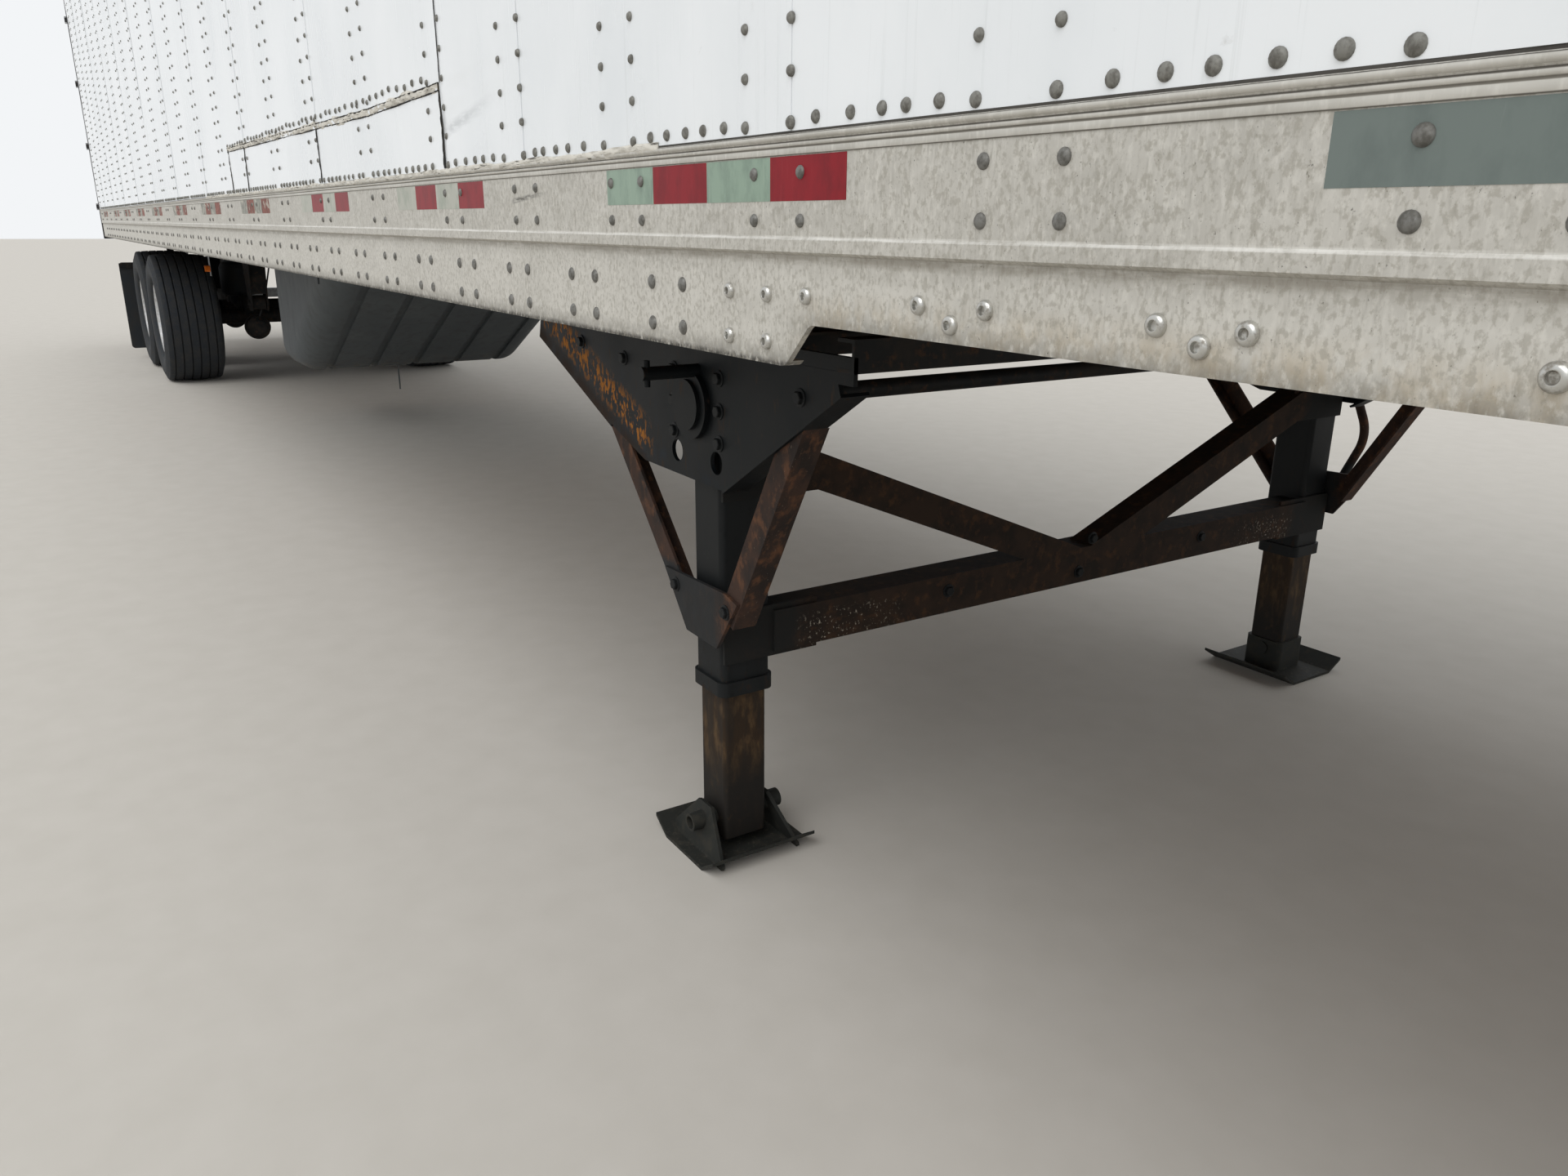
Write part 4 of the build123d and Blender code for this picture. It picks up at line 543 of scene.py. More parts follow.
nodeFinishes = {
    "bakedWhiteSheet": "side_wall_left side_wall_right nose_wall nose_corners roof door_left door_right",
    "millAluminium": "bottom_rail_left bottom_rail_right top_rails",
    "chassisPaint": "axles bogie_frame brake_chambers crossmembers slider_rails trailing_arms air_tank leg_frame "
                    "gear_shaft rear_sill rear_header rear_posts flap_brackets",
    "paintedPlate": "wing_plates gear_covers",
    "rustyAngle": "leg_braces crank_handle",
    "muddyAngle": "cross_brace",
    "legPaint": "leg_tubes",
    "ramSteel": "leg_rams",
    "shoeSteel": "leg_shoe_left leg_shoe_right",
    "greasedSteel": "kingpin upper_coupler",
    "forgedWheel": "wheel_front_left wheel_front_right wheel_rear_left wheel_rear_right",
    "treadRubber": "tyre_front_left tyre_front_right tyre_rear_left tyre_rear_right",
    "flapRubber": "air_springs dock_bumpers mud_flaps",
    "mouldedGrey": "aero_tray",
    "dullZinc": "door_hardware_left door_hardware_right lamp_brackets underride_guard air_couplings power_socket",
    "oakDeck": "floor_deck",
    "amberLens": "side_lamps",
    "redLens": "tail_lamps",
}
dressed = [(name, finish) for finish, names in nodeFinishes.items() for name in names.split()]
for name, finish in dressed:
    nodes[name].data.materials.clear()
    nodes[name].data.materials.append(finishes[finish])
print("finishes:", len(finishes), "on", len(dressed), "nodes")


# ---- camera, floor and light ----

camera = {"place": (6.397, -2.0809, 1.29), "yaw": 33.159, "pitch": 17.881, "roll": -0.376,
          "focalPixels": 1380.88, "framePixels": 1920, "sensor": 36, "clip": (0.05, 300)}
yaw, pitch, roll = (math.radians(camera[key]) for key in ("yaw", "pitch", "roll"))
forward = np.array([-math.cos(yaw) * math.cos(pitch), math.sin(yaw) * math.cos(pitch), -math.sin(pitch)])
level = np.array([math.sin(yaw), math.cos(yaw), 0.0])
down = np.cross(forward, level)
rightward = math.cos(roll) * level + math.sin(roll) * down
down = math.cos(roll) * down - math.sin(roll) * level
cameraData = bpy.data.cameras.new("Camera")
cameraData.sensor_width = camera["sensor"]
cameraData.lens = camera["sensor"] * camera["focalPixels"] / camera["framePixels"]
cameraData.clip_start, cameraData.clip_end = camera["clip"]
cameraObject = addObject("Camera", cameraData)
turned = np.eye(4)
turned[:3] = np.column_stack([rightward, -down, -forward, camera["place"]])
cameraObject.matrix_world = Matrix(turned.tolist())
bpy.context.scene.camera = cameraObject
bpy.context.scene.view_settings.view_transform = "Standard"

studio = {"floorReach": 90.0, "floor": "d2cdc5", "mottle": "c7c2b9", "world": "f3f5f7", "worldLight": 0.78,
          "sun": 1.3, "sunAngle": 55, "sunTurn": (38, 8, 25)}
floorMaterial = bpy.data.materials.new("plainFloor")
tree = emptyTree(floorMaterial)
place = addNode(tree, "TexCoord")
mottle = addNode(tree, "TexNoise", {"Scale": 9.0, "Detail": 6.0}, {"Vector": (place, "Object")})
floorTones = {6: linearColour(studio["floor"]), 7: linearColour(studio["mottle"])}
tone = addNode(tree, "Mix", {"data_type": "RGBA", **floorTones}, {0: (mottle, 0)})
floorShader = addNode(tree, "BsdfPrincipled", {"Roughness": 0.9}, {"Base Color": (tone, 2)})
addNode(tree, "OutputMaterial", None, {"Surface": (floorShader, 0)})
reach = studio["floorReach"]
floorMesh = bpy.data.meshes.new("floor")
corners = [(-reach, -reach, 0), (reach, -reach, 0), (reach, reach, 0), (-reach, reach, 0)]
floorMesh.from_pydata(corners, [], [(0, 1, 2, 3)])
floorMesh.materials.append(floorMaterial)
floor = addObject("floor", floorMesh)

world = bpy.data.worlds.new("softSky")
bpy.context.scene.world = world
tree = emptyTree(world)
seen = addNode(tree, "LightPath")
sky = linearColour(studio["world"])
plain = addNode(tree, "Background", {"Color": sky, "Strength": studio["worldLight"]})
bright = addNode(tree, "Background", {"Color": sky, "Strength": 1.0})
rays = {0: (seen, "Is Camera Ray"), 1: (seen, "Is Glossy Ray")}
either = addNode(tree, "Math", {"operation": "MAXIMUM"}, rays)
mixed = addNode(tree, "MixShader", None, {0: (either, 0), 1: (plain, 0), 2: (bright, 0)})
addNode(tree, "OutputWorld", None, {"Surface": (mixed, 0)})

sunData = bpy.data.lights.new("softSun", "SUN")
sunData.energy, sunData.angle = studio["sun"], math.radians(studio["sunAngle"])
addObject("softSun", sunData).rotation_euler = [math.radians(angle) for angle in studio["sunTurn"]]
print("camera, floor and light set")


# ---- tyres: ribbed road tread and moulded side walls, in place of the plain solids ----

tyre = {"radius": 0.513, "middle": 0.995, "treadHalf": 0.198, "crownDrop": 0.009, "grooves": 6, "shoulder": 0.04,
        "grooveWidth": 0.011, "grooveDepth": 0.013, "beadRadius": 0.309, "beadHalf": 0.176, "steps": 256,
        "blade": 0.0016, "bladeEvery": 4, "bladeBelow": 0.0105}


def crown(y):
    # the tread's radius, which falls off towards the shoulders
    return tyre["radius"] - tyre["crownDrop"] * (y / tyre["treadHalf"]) ** 2


def treadProfile():
    # from the inner bead over one side wall, the grooved tread and the other wall, then back along the inside
    half, width, depth = tyre["treadHalf"], tyre["grooveWidth"] / 2, tyre["grooveDepth"]
    wall = [(tyre["beadHalf"] + 0.0005, tyre["beadRadius"]), (0.190, 0.318), (0.203, 0.326), (0.209, 0.334),
            (0.2115, 0.345), (0.2155, 0.352), (0.2205, 0.378), (0.2222, 0.400), (0.2218, 0.420), (0.2195, 0.440),
            (0.2202, 0.4435), (0.2172, 0.447), (0.2145, 0.459), (0.2105, 0.470), (0.2085, 0.4745), (0.2045, 0.480),
            (0.2030, 0.490), (0.2010, 0.4965)]
    inner = [(0.172, 0.292), (0.150, 0.291), (0.196, 0.360), (0.200, 0.420), (0.178, 0.466)]
    points = [(-y, r) for y, r in wall]
    points += [(-half - 0.0012, crown(half) - 0.006), (-half + 0.004, crown(half) - 0.0005)]
    for centre in np.linspace(-half + tyre["shoulder"], half - tyre["shoulder"], tyre["grooves"]):
        top = crown(centre)
        points += [(centre - width - 0.0012, top), (centre - width, top - 0.0014), (centre - width * 0.62, top - depth),
                   (centre + width * 0.62, top - depth), (centre + width, top - 0.0014), (centre + width + 0.0012, top)]
    points += [(half - 0.004, crown(half) - 0.0005), (half + 0.0012, crown(half) - 0.006)]
    return np.array(points + wall[::-1] + inner + [(-y, r) for y, r in inner[::-1]])


def tyreShape(axleX, side):
    # the profile is turned round the axle
    profile = treadProfile()
    turn = circleAngles(tyre["steps"])
    across, radius = profile.T
    radius = np.repeat(radius[:, None], len(turn), 1)
    # small cuts across the ribs' edges, under two millimetres deep
    rim = (np.abs(across) < tyre["treadHalf"] + 0.001) & (profile[:, 1] > tyre["radius"] - tyre["bladeBelow"])
    radius[np.ix_(rim, np.arange(0, len(turn), tyre["bladeEvery"]))] -= tyre["blade"]
    points = np.stack([
        axleX + radius * np.cos(turn),
        np.repeat((side * tyre["middle"] + across)[:, None], len(turn), 1),
        axleHeight + radius * np.sin(turn),
    ], -1)
    return points.reshape(-1, 3), [gridQuads(len(profile), len(turn), closeRows=True, closeColumns=True)[:, ::-1]]


for axleName, axleX in axlePlaces.items():
    for side, sideName in sideNames.items():
        wheelName = f"{axleName}_{sideName}"
        shape = tyreShape(axleX, side)
        piece = makePiece(f"treaded_tyre_{wheelName}", shape, "treadRubber", 40, f"wheel_{wheelName}")
        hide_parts(f"tyre_{axleName}_{sideName}")
print("tyres made")


# ---- side walls: the sheets, their repairs and sealant, the rail's lip, tape, rivets and bolts ----

# The posts are seen as pairs of rivets. Sheet and rail have their own places, as measured on each.
posts = {
    "railRear": 3.907, "sheetRear": 3.842, "rearPitch": 0.6096, "rearCount": 19, "pairHalf": 0.052,
    "railFront": [4.326, 4.747, 5.17, 5.588, 6.01, 6.43, 6.85, 7.27, 7.69],
    "sheetFront": [4.283, 4.728, 5.15, 5.573, 5.995, 6.418, 6.84, 7.262, 7.684],
}
rearSteps = np.arange(posts["rearCount"], -1, -1) * posts["rearPitch"]
railPosts = np.append(posts["railRear"] - rearSteps, posts["railFront"])
sheetPosts = np.append(posts["sheetRear"] - rearSteps, posts["sheetFront"])
railPairs = np.concatenate([railPosts - posts["pairHalf"], railPosts + posts["pairHalf"]])
sheetPairs = np.concatenate([sheetPosts - posts["pairHalf"], sheetPosts + posts["pairHalf"]])

sheets = {
    "bottom": 1.3948, "top": 3.9635, "out": 1.2939, "least": 1.2927, "thickness": 0.0012, "under": 0.02,
    "lap": 0.0014, "lapStart": 0.07, "lapRun": 0.04, "loose": 0.0006, "bulge": 0.0011, "waveSize": 0.46,
    # a bulge fades out over these distances from a post and from the sheet's fixed edges
    "postFade": 0.09, "edgeFade": 0.12, "edges": (1.407, 3.945),
    # steps between points, fine on the right wall below fineTop, and ahead of fineX
    "fineTop": 1.7, "fineX": 3.7, "fineSteps": (0.014, 0.026), "steps": (0.06, 0.075), "upperRows": 26,
    "seams": [-7.975, -7.03, -5.81, -4.59, -3.37, -2.15, -0.93, 0.22, 1.41, 2.69, 3.88, 4.335, 5.202, 6.047, 6.892,
              7.976],
}
# Dents in the right wall: x, z, half length, half height, turn in degrees, depth
dents = [(4.03, 1.492, 0.13, 0.028, 7, 0.006), (3.98, 1.462, 0.10, 0.008, 10, -0.003),
         (4.05, 1.553, 0.14, 0.006, 4, 0.0022), (2.3, 1.98, 0.3, 0.16, 20, 0.003),
         (0.5, 1.7, 0.34, 0.1, -12, 0.004), (-2.6, 1.62, 0.4, 0.12, 8, 0.005)]


def sheetOut(side, x, z):
    # out from the middle: the lap's step at each seam, bulges that fade out at posts and edges, and the dents
    seams = np.array(sheets["seams"][1:])
    seam = seams[np.searchsorted(seams, x).clip(0, len(seams) - 1)]
    out = sheets["out"] + sheets["lap"] * np.clip((x - seam + sheets["lapStart"]) / sheets["lapRun"], 0, 1)
    fromPost = np.abs(np.asarray(x)[..., None] - sheetPosts).min(-1) - posts["pairHalf"]
    low, high = sheets["edges"]
    free = (np.clip(fromPost / sheets["postFade"], 0, 1) * np.clip((z - low) / sheets["edgeFade"], 0, 1)
            * np.clip((high - z) / sheets["edgeFade"], 0, 1))
    out = out + free * (sheets["loose"] + sheets["bulge"] * wave(x, z, sheets["waveSize"], 11 + side))
    if side == rightSide:
        for middleX, middleZ, halfX, halfZ, turn, depth in dents:
            c, s = math.cos(math.radians(turn)), math.sin(math.radians(turn))
            u, v = ((x - middleX) * c + (z - middleZ) * s) / halfX, ((z - middleZ) * c - (x - middleX) * s) / halfZ
            out = out - depth * np.exp(-u * u - v * v)
    return np.maximum(out, sheets["least"])


for side, sideName in sideNames.items():
    near = side == rightSide
    lowRows = np.arange(sheets["bottom"], sheets["fineTop"], (sheets["fineSteps"] if near else sheets["steps"])[0])
    rows = np.concatenate([lowRows, np.linspace(sheets["fineTop"], sheets["top"], sheets["upperRows"])])
    shapes = []
    for start, end in zip(sheets["seams"][:-1], sheets["seams"][1:]):
        rear = start if start == sheets["seams"][0] else start - sheets["under"]
        step = (sheets["fineSteps"] if near and end > sheets["fineX"] else sheets["steps"])[1]
        x, z = np.meshgrid(np.linspace(rear, end, int((end - rear) / step) + 2), rows)
        # the strip under the next sheet back keeps below it
        out = np.where(x < start, sheets["out"] - 0.0001, sheetOut(side, np.maximum(x, start + 1e-4), z))
        shapes.append(wallPlate(side, x, z, out, sheets["thickness"]))
    makePiece(f"side_sheets_{sideName}", shapes, "bakedWhiteSheet", 25)

# Repair sheets riveted over the bottom of the right wall, with a hand-laid sealant line along their top
repairs = {"edges": [1.035, 1.41, 2.69, 3.872], "gap": 0.003, "bottom": 0.001, "top": 1.556, "proud": 0.0016,
           "thickness": 0.0016, "bulge": 0.0007, "unevenTop": 0.006, "step": 0.03, "rows": 14}
shapes = []
for start, end in zip(repairs["edges"][:-1], repairs["edges"][1:]):
    columns = np.linspace(start + repairs["gap"], end - repairs["gap"], int((end - start) / repairs["step"]))
    x, z = np.meshgrid(columns, np.linspace(sheets["bottom"] + repairs["bottom"], repairs["top"], repairs["rows"]))
    z = np.where(z == repairs["top"], z + repairs["unevenTop"] * wave(x, 0 * x, 0.5, 5), z)
    out = sheetOut(rightSide, x, z) + repairs["proud"] + repairs["bulge"] * wave(x, z, 0.3, 21)
    shapes.append(wallPlate(rightSide, x, z, out, repairs["thickness"]))
makePiece("repair_sheets_right", shapes, "bakedWhiteSheet", 25)

# Sealant beads: corners (x, z), width, height
sealBeads = [
    ([(1.0, 1.566), (1.44, 1.563), (2.24, 1.557), (2.83, 1.551), (3.29, 1.548), (3.65, 1.556), (3.872, 1.558)],
     0.021, 0.0034),
    ([(0.2, 1.3925), (1.2, 1.3915), (2.4, 1.392), (3.3, 1.390), (3.9, 1.3915), (4.4, 1.391), (4.86, 1.3925)],
     0.012, 0.0034),
]
shapes = [beadShape(rightSide, *bead, 1.2946, 31 + n * 4) for n, bead in enumerate(sealBeads)]
makePiece("seam_sealant_right", shapes, "oldSealant", 60)
# thin dark lines: down the repair's joints, along both of the sealant's edges, and up the old seam
darkLines = [
    ([(3.876, 1.398), (3.879, 1.48), (3.874, 1.565)], 0.009, 0.0025),
    ([(3.881, 1.565), (3.882, 3.95)], 0.0035, 0.0008),
    ([(2.692, 1.398), (2.69, 1.55)], 0.008, 0.0025),
    ([(1.413, 1.398), (1.41, 1.56)], 0.012, 0.003),
    ([(1.034, 1.398), (1.03, 1.57)], 0.014, 0.003),
    ([(1.0, 1.556), (2.24, 1.548), (3.29, 1.54), (3.872, 1.549)], 0.0035, 0.0028),
    ([(1.0, 1.571), (2.24, 1.562), (3.29, 1.5555), (3.872, 1.564)], 0.0035, 0.0028),
]
shapes = [beadShape(rightSide, *bead, 1.2953, 40 + n * 3) for n, bead in enumerate(darkLines)]
makePiece("joint_sealant_right", shapes, "darkSealant", 60)

# The rail's upper lip: out and height of its outline, from the top down
lipOutline = np.array([
    (1.2925, 1.3946), (1.2942, 1.3946), (1.2942, 1.3915), (1.2958, 1.3911), (1.2971, 1.3899), (1.2976, 1.3881),
    (1.2970, 1.3862), (1.2955, 1.3849), (1.2944, 1.3842), (1.2944, 1.3829), (1.2956, 1.3822), (1.2960, 1.3800),
    (1.2956, 1.3782), (1.2947, 1.3776), (1.2947, 1.3768), (1.2953, 1.3762), (1.2953, 1.3692), (1.2948, 1.3682),
    (1.2925, 1.3682)])
lipReach = 7.976
for side, sideName in sideNames.items():
    lip = prismShape(lipOutline * (side, 1), -lipReach, lipReach)
    makePiece(f"rail_lip_{sideName}", lip, "lipAluminium", 50)

# Reflective tape: start of each strip and its length; four blocks, silver and red by turns, on both rails
tape = {"low": 1.3165, "high": 1.3672, "out": 1.29395, "thickness": 0.0006, "lift": 0.00006, "faded": 2.0, "aged": 4.0,
        "strips": [(-7.5, 0.632), (-6.06, 0.632), (-4.88, 0.632), (-3.7, 0.632), (-2.52, 0.632), (-1.28, 0.632),
                   (-0.067, 0.64), (1.14, 0.632), (2.345, 0.632), (3.478, 0.62), (4.68, 0.634)],
        "nose": [(5.892, 0.62), (7.22, 0.62)]}
blocks = {"silver": [], "aged": [], "red": [], "worn": [], "brown": [], "nose": []}
for start, length in tape["strips"]:
    faded = start < tape["faded"]
    pale = "worn" if faded else "aged" if start < tape["aged"] else "silver"
    for n in range(4):
        kind = (pale, "brown" if faded else "red")[n % 2]
        blocks[kind].append((start + n * length / 4, start + (n + 1) * length / 4))
blocks["nose"] += [(start, start + length) for start, length in tape["nose"]]
for side, sideName in sideNames.items():
    for kind, spans in blocks.items():
        shapes = []
        for start, end in spans:
            x, z = np.meshgrid(np.linspace(start, end, 9), np.linspace(tape["low"], tape["high"], 4))
            out = tape["out"] + tape["lift"] * wave(x, z, 0.04, 3)
            shapes.append(wallPlate(side, x, z, out, tape["thickness"]))
        makePiece(f"tape_{kind}_{sideName}", shapes, kind + "Film", 30)
print("sheets, sealant and tape made")

wall = {"railY": 1.2935, "webY": 1.2885, "railRows": (1.294, 1.3485), "bottomRow": 1.404, "topRow": 3.94}
floorPairs = {"first": -7.3276, "pitch": 0.3048, "half": 0.0485, "heights": (1.2065, 1.1465), "lastX": 4.95}
rivet = {"radius": 0.0082, "webRadius": 0.0108, "sheetRadius": 0.0079, "uprightRadius": 0.0068, "height": 0.0046,
         "rowPitch": 0.0557, "rowCount": 45, "nearX": 3.5, "nearZ": 2.0, "sides": (16, 8), "unevenness": 0.004}
# the bottom row between the near posts, as measured: hand-set, not evenly spaced
nearRow = {"from": 3.8, "to": 5.69, "z": 1.407,
           "x": [3.945, 4.01, 4.068, 4.116, 4.173, 4.388, 4.426, 4.483, 4.535, 4.599, 4.836, 4.886, 4.941, 4.99, 5.045,
                 5.253, 5.32, 5.376, 5.416, 5.468, 5.688, 5.742, 5.787, 5.842, 5.893]}
# the close row over the repair's sealant
closeRow = {"from": 1.02, "to": 3.8, "pitch": 0.062, "z": 1.578, "unevenX": 0.006, "unevenZ": 0.002}
bolt = {"radius": 0.0105, "height": 0.0068, "sides": 18, "socket": 0.0046}
boltPlaces = [
    (5.048, 1.205), (5.141, 1.205), (5.23, 1.207), (5.047, 1.146), (5.141, 1.146), (5.443, 1.209), (5.495, 1.192),
    (5.546, 1.21), (5.755, 1.211), (5.8, 1.197), (5.843, 1.211), (6.065, 1.202), (6.11, 1.19), (6.155, 1.204),
    (6.37, 1.21), (6.42, 1.195), (6.47, 1.21), (6.68, 1.21), (6.73, 1.195), (6.78, 1.21), (7.05, 1.21), (7.1, 1.195),
    (7.15, 1.21), (7.4, 1.21), (7.45, 1.195), (7.5, 1.21)]


def domeShape(radius, height, sides):
    # a rivet's head: a low dome on a short skirt that sinks into the sheet, with one ring fewer where it is far off
    far, near = [(0.84, 0.62), (0.36, 1)], [(0.97, 0.3), (0.72, 0.8), (0.3, 1)]
    rings = [(radius * r, height * h) for r, h in (far if sides < 10 else near)]
    return revolveShape([(radius, -0.001), *rings], sides)


def boltShape():
    # a button head with a socket sunk in its middle, on a washer face
    r, h, s = bolt["radius"], bolt["height"], bolt["socket"]
    profile = [(r, -0.001), (r, 0.0016), (r * 0.96, h * 0.5), (r * 0.82, h * 0.84), (r * 0.6, h),
               (s * 1.05, h * 0.98), (s, h * 0.9), (s * 0.9, h * 0.35), (s * 0.3, h * 0.3)]
    return revolveShape(profile, bolt["sides"])


def hexShape(radius, height):
    # a hexagon head with its corners cut, on a round washer
    washer = revolveShape([(radius * 1.35, -0.001), (radius * 1.35, height * 0.18), (radius * 1.25, height * 0.24)], 16)
    return joinShapes([washer, revolveShape([(radius, 0), (radius, height * 0.86), (radius * 0.86, height)], 6)])


def rivetRows(side, xz, y, radius):
    # rivets at those places, rounder where the picture is taken from close by
    xz, y = np.array(xz, float), np.broadcast_to(y, len(xz))
    close = (xz[:, 0] > rivet["nearX"]) & (xz[:, 1] < rivet["nearZ"]) & (side == rightSide)
    return joinShapes([
        onSide(domeShape(radius, rivet["height"], sides), side, xz[chosen], y[chosen])
        for chosen, sides in zip((close, ~close), rivet["sides"]) if chosen.any()])


for side, sideName in sideNames.items():
    railRows = [(x, z) for x in railPairs for z in wall["railRows"]]
    floorX = np.arange(floorPairs["first"], floorPairs["lastX"], floorPairs["pitch"])
    webRows = [(x + shift, z) for x in floorX for shift in (-floorPairs["half"], floorPairs["half"])
               for z in floorPairs["heights"]]
    shapes = [rivetRows(side, railRows, wall["railY"], rivet["radius"]),
              rivetRows(side, webRows, wall["webY"], rivet["webRadius"])]
    makePiece(f"rail_rivets_{sideName}", shapes, "rivetAluminium", 50)
    bolts = onSide(boltShape(), side, boltPlaces, wall["webY"])
    makePiece(f"socket_bolts_{sideName}", bolts, "bolts", 40)
    # up each post, five or nine between posts along the bottom and top, and a close row over the repair's sealant
    steps = range(1, rivet["rowCount"] + 1)
    upright = np.array([(x, wall["bottomRow"] + n * rivet["rowPitch"]) for x in sheetPairs for n in steps])
    rows = [(x, wall["bottomRow"]) for x in sheetPairs]
    ends = np.append(sheetPosts, 7.94)
    for start, end in zip(ends[:-1], ends[1:]):
        count = 5 if end - start < 0.5 else 9
        inner = np.linspace(start + posts["pairHalf"], end - posts["pairHalf"], count + 2)[1:-1]
        measured = side == rightSide and nearRow["from"] < start < nearRow["to"]
        heights = (wall["topRow"],) if measured else (wall["bottomRow"], wall["topRow"])
        rows += [(x + random.normal(0, rivet["unevenness"]), z) for x in inner for z in heights]
    if side == rightSide:
        rows += [(x, nearRow["z"]) for x in nearRow["x"]]
        rows += [(x + random.normal(0, closeRow["unevenX"]), closeRow["z"] + random.normal(0, closeRow["unevenZ"]))
                 for x in np.arange(closeRow["from"], closeRow["to"], closeRow["pitch"])]
    shapes = []
    for group, radius in ((upright, rivet["uprightRadius"]), (np.array(rows), rivet["sheetRadius"])):
        x, z = group.T
        first, last = repairs["edges"][0], repairs["edges"][-1]
        repaired = (side == rightSide) & (x > first) & (x < last) & (z < repairs["top"])
        shapes.append(rivetRows(side, group, sheetOut(side, x, z) + np.where(repaired, repairs["proud"], 0), radius))
    makePiece(f"sheet_rivets_{sideName}", shapes, "rivetDirty", 50)
print("rivets and bolts made")


# ---- landing gear: bolt heads, and the strips on top of the wing plates ----

# places from the leg's middle: along and height on the wing plate and the lower bracket, across on the cross brace
gearBolts = {"radius": 0.0115, "height": 0.0095, "legX": 4.495, "wingY": 1.048, "crossX": 4.568,
             "wing": [(-0.078, 0.901), (-0.077, 0.961), (-0.075, 1.021), (0.098, 0.901), (0.099, 0.961), (0.1, 1.021),
                      (0.366, 1.02), (-0.3, 1.02), (-0.52, 1.035)],
             "lower": [(-0.088, 0.578), (0.114, 0.574)],
             "cross": [(0.442, 0.503), (-0.442, 0.503), (0.02, 0.56), (-0.02, 0.48)]}
axesAhead = [(0, 1, 0), (0, 0, 1), (1, 0, 0)]
head = hexShape(gearBolts["radius"], gearBolts["height"])
places = [(gearBolts["legX"] + x, z) for x, z in gearBolts["wing"] + gearBolts["lower"]]
shapes = [onSide(head, side, places, gearBolts["wingY"]) for side in sideNames]
shapes.append(copyShape(head, [(gearBolts["crossX"], y, z) for y, z in gearBolts["cross"]], axesAhead))
makePiece("gear_bolts", shapes, "legPaint")
# a strip welded along the top of each wing plate, up to the frame above it
wingTop = {"rear": 3.72, "front": 5.006, "low": 1.0725, "high": 1.098, "inner": 1.04, "outer": 1.0476, "bevel": 0.0008}
shapes = []
for side in sideNames:
    y0, y1 = sorted((side * wingTop["inner"], side * wingTop["outer"]))
    rear, front = (wingTop["rear"], y0, wingTop["low"]), (wingTop["front"], y1, wingTop["high"])
    shapes.append(barShape(rear, front, wingTop["bevel"]))
makePiece("wing_plate_tops", shapes, "paintedPlate", 30)


# ---- wheels: nuts on their studs, and hub caps ----

wheelEnd = {"face": 1.03, "circle": 0.1429, "nuts": 10, "turn": 0.314, "nutRadius": 0.0185, "nutHeight": 0.024,
            "hubFace": 1.1098}
nutRadius, nutHeight = wheelEnd["nutRadius"], wheelEnd["nutHeight"]
nut = joinShapes([
    revolveShape([(0.024, -0.001), (0.024, 0.004), (0.0205, 0.006)], 16),
    revolveShape([(nutRadius, 0.005), (nutRadius, 0.005 + nutHeight), (nutRadius * 0.84, 0.008 + nutHeight)], 6),
    revolveShape([(0.0105, 0.02), (0.0105, 0.044), (0.009, 0.046)], 10),
])
cap = revolveShape([
    (0.0615, -0.004), (0.0615, 0.004), (0.056, 0.0075), (0.053, 0.0085), (0.052, 0.021), (0.046, 0.0265),
    (0.03, 0.0275), (0.0285, 0.0255), (0.012, 0.0255), (0.011, 0.03), (0.008, 0.031)], 40)
turn = circleAngles(wheelEnd["nuts"]) + wheelEnd["turn"]
for axleName, axleX in axlePlaces.items():
    circle = (axleX, axleHeight) + wheelEnd["circle"] * np.column_stack([np.cos(turn), np.sin(turn)])
    for side, sideName in sideNames.items():
        shapes = [onSide(nut, side, circle, wheelEnd["face"]),
                  onSide(cap, side, (axleX, axleHeight), wheelEnd["hubFace"])]
        wheelName = f"{axleName}_{sideName}"
        makePiece(f"wheel_nuts_{wheelName}", shapes, "bolts", 30, f"wheel_{wheelName}")
print("gear bolts and wheel ends made")


# ---- top rails, roof, nose and rear frame: rivets, tape, seals and lamp rings ----

shell = {"topRail": 1.2955, "topHeights": (3.985, 4.06), "roofZ": 4.115, "roofY": 1.262, "noseX": 8.077, "rearX": -8.077,
         "pitch": 0.1016}
smallDome = domeShape(0.0075, 0.003, 8)
topX = np.arange(-7.9, 7.95, shell["pitch"])
topRows = [(x, z) for x in topX for z in shell["topHeights"]]
shapes = [onSide(smallDome, side, topRows, shell["topRail"]) for side in sideNames]
shapes.append(copyShape(smallDome, [(x, side * shell["roofY"], shell["roofZ"]) for x in topX for side in sideNames]))
# up the nose on its posts, and in two level rows
noseGrids = [(np.arange(-1.1684, 1.17, 0.2921), np.arange(1.26, 4.08, shell["pitch"])),
             (np.arange(-1.15, 1.16, 0.0762), (1.2, 4.085))]
shapes += [copyShape(smallDome, [(shell["noseX"], y, z) for y in across for z in heights], axesAhead)
           for across, heights in noseGrids]
makePiece("shell_rivets", shapes, "rivetAluminium", 50)

rearX = shell["rearX"]
# tape on each bar: its first block's edges, the step to the next, and heights. Corner marks: edges and heights.
rearTape = {"guard": (-1.13, -0.8475, 0.2825, 0.484, 0.536), "sill": (-0.52, -0.39, 0.13, 1.19, 1.24), "blocks": 8,
            "corner": (0.9, 1.2, 4.045, 4.095), "proud": 0.0006, "depth": 0.0008}
lampRings = {"y": (0.62, 0.76), "z": 1.175}
axesBehind = [(0, -1, 0), (0, 0, 1), (-1, 0, 0)]


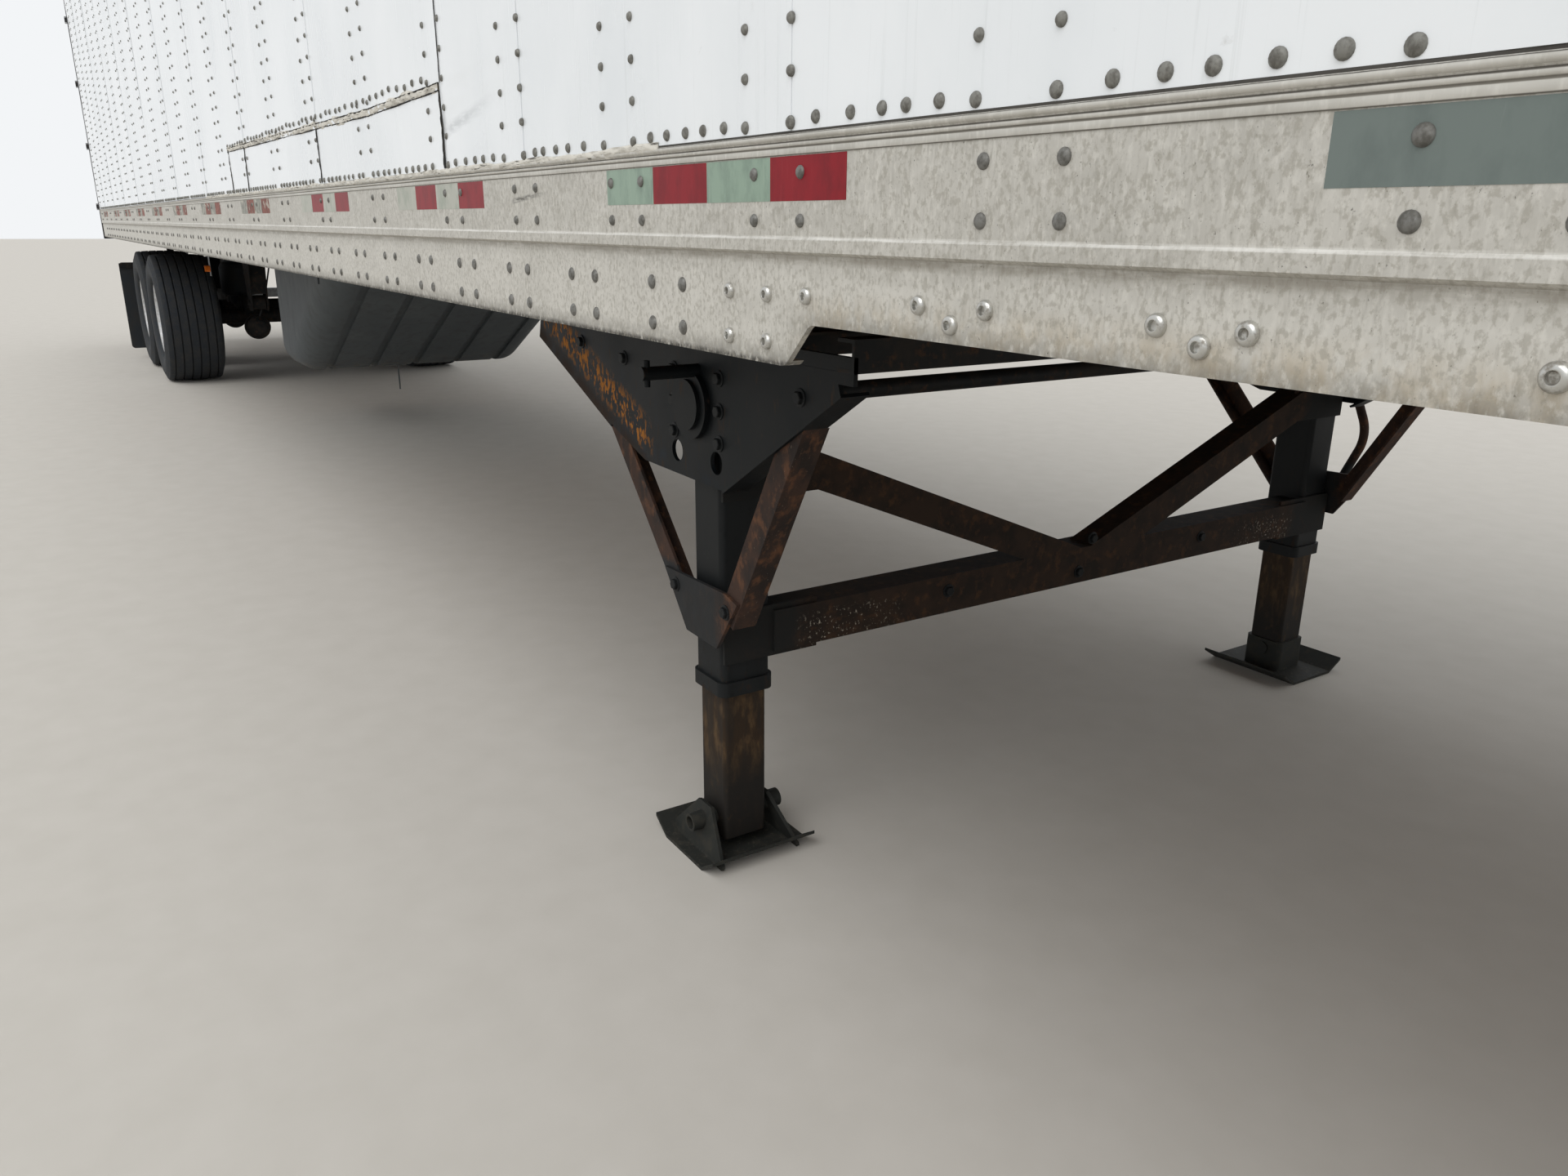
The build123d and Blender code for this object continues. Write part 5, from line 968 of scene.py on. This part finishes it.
def rearStrip(y0, y1, z0, z1):
    # film on the flat rear face
    y, z = np.meshgrid(np.linspace(y0, y1, 5), np.linspace(z0, z1, 3))
    x = np.full(y.shape, rearX - rearTape["proud"])
    return plateShape(np.stack([x, y, z], -1), np.stack([x + rearTape["depth"], y, z], -1))


for kind, film, first in (("silver", "agedFilm", 0), ("red", "redFilm", 1)):
    shapes = [rearStrip(start + n * step, end + n * step, *heights)
              for start, end, step, *heights in (rearTape["guard"], rearTape["sill"])
              for n in range(first, rearTape["blocks"], 2)]
    makePiece(f"rear_tape_{kind}", shapes, film, 30)
# pale corner marks at the top of the rear posts and header
near, far, *heights = rearTape["corner"]
shapes = [rearStrip(side * near, side * far, *heights) for side in sideNames]
makePiece("rear_corner_tape", shapes, "agedFilm", 30)

# rubber rings round the sunk lamps
ring = revolveShape([(0.0535, -0.001), (0.066, -0.001), (0.0665, 0.004), (0.063, 0.0085), (0.0565, 0.0095),
                     (0.0535, 0.006), (0.0525, 0.003)], 32)
places = [(rearX, side * y, lampRings["z"]) for side in sideNames for y in lampRings["y"]]
makePiece("lamp_rings", copyShape(ring, places, axesBehind), "flapRubber", 40)

# black lip seals round each door, and the bolts through its hinge straps
door = {"low": 1.268, "high": 3.959, "inner": 0.005, "outer": 1.2125, "gap": 0.002, "proud": 0.0035, "width": 0.018,
        "bevel": 0.0012}
hinge = {"low": 1.42, "pitch": 0.595, "count": 5, "bolts": (1.085, 1.13, 1.175), "boltHalf": 0.018, "out": 0.014,
         "head": (0.0075, 0.006)}
for side, sideName in sideNames.items():
    gap, width, low, high = door["gap"], door["width"], door["low"], door["high"]
    y0, y1 = sorted((side * (door["inner"] + gap), side * (door["outer"] - gap)))
    x0, x1 = rearX - door["proud"], rearX + 0.002
    # each bar from (y, z) to (y, z): bottom, top and both uprights
    bars = [((y0, low + gap), (y1, low + gap + width)), ((y0, high - gap - width), (y1, high - gap)),
            ((y0, low + width), (y0 + width, high - width)), ((y1 - width, low + width), (y1, high - width))]
    shapes = [barShape((x0, *a), (x1, *b), door["bevel"]) for a, b in bars]
    makePiece(f"door_seals_{sideName}", shapes, "flapRubber", 30, f"door_{sideName}")
    heights = [hinge["low"] + n * hinge["pitch"] for n in range(hinge["count"])]
    places = [(rearX - hinge["out"], side * y, z + shift) for z in heights for y in hinge["bolts"]
              for shift in (-hinge["boltHalf"], hinge["boltHalf"])]
    hingeBolts = copyShape(hexShape(*hinge["head"]), places, axesBehind)
    makePiece(f"hinge_bolts_{sideName}", hingeBolts, "bolts", 35, f"door_{sideName}")


# ---- under the floor: air lines, slider pins and the tab at the rail ----

def arcPath(corners, radius, steps=6):
    # straight runs joined by arcs: each corner becomes points on the curve a (1-t)^2 + 2 b t (1-t) + c t^2
    corners = np.array(corners, float)
    path = [corners[0]]
    for before, here, after in zip(corners[:-2], corners[1:-1], corners[2:]):
        start = here + (before - here) / np.linalg.norm(before - here) * radius
        end = here + (after - here) / np.linalg.norm(after - here) * radius
        t = np.linspace(0, 1, steps)[:, None]
        path += list(start * (1 - t) ** 2 + 2 * here * t * (1 - t) + end * t ** 2)
    return np.array(path + [corners[-1]])


# two lines from the nose to the tank, and from the tank one to each wheel end
lines = {"radius": 0.0065, "sides": 10, "bend": 0.045, "tankX": -3.32}
turn = circleAngles(lines["sides"])
hose = np.stack([lines["radius"] * np.cos(turn), lines["radius"] * np.sin(turn)], -1)
tankX = lines["tankX"]
routes = [
    [(7.0, 0.16, 1.158), (6.75, 0.16, 1.108), (5.6, 0.17, 1.108), (3.0, 0.16, 1.108), (-2.9, 0.17, 1.108),
     (-3.1, 0.17, 1.02), (-3.25, 0.17, 0.99)],
    [(7.0, 0.13, 1.158), (6.75, 0.13, 1.108), (5.6, 0.14, 1.108), (3.0, 0.13, 1.108), (-2.9, 0.14, 1.108),
     (-3.05, 0.14, 1.03), (-3.25, 0.12, 0.995)],
]
routes += [[(tankX - 0.1, side * 0.2, 0.93), (tankX - 0.35, side * 0.3, 1.0), (axleX + 0.5, side * 0.36, 1.0),
            (axleX + 0.42, side * 0.42, 0.7), (axleX + 0.34, side * 0.47, 0.53)]
           for axleX in axlePlaces.values() for side in sideNames]
shapes = [sweepShape(hose, arcPath(route, lines["bend"]), (0.1, 0.3, 1)) for route in routes]
makePiece("air_lines", shapes, "flapRubber", 50)

# slider pins through the rails
pins = {"y": 0.5575, "z": 1.04, "x": (-3.85, -4.9, -5.2, -6.1)}
pin = revolveShape([(0.019, -0.03), (0.019, 0.012), (0.016, 0.016)], 16)
shapes = [onSide(pin, side, (x, pins["z"]), pins["y"]) for side in sideNames for x in pins["x"]]
makePiece("slider_pins", shapes, "bolts", 40)

# a small black tab under the right rail, over the tray
tab = {"x": 2.292, "out": 1.262, "top": 1.126, "tip": 1.09, "topHalf": 0.016, "tipHalf": 0.005, "thickness": 0.004}
t, across = np.meshgrid(np.linspace(0, 1, 6), np.linspace(-1, 1, 5), indexing="ij")
tabX = tab["x"] + across * (tab["topHalf"] + (tab["tipHalf"] - tab["topHalf"]) * t ** 0.7)
tabZ = tab["top"] + (tab["tip"] - tab["top"]) * t
makePiece("rail_tab", wallPlate(rightSide, tabX, tabZ, tab["out"], tab["thickness"]), "flapRubber", 30)
print("small pieces made")
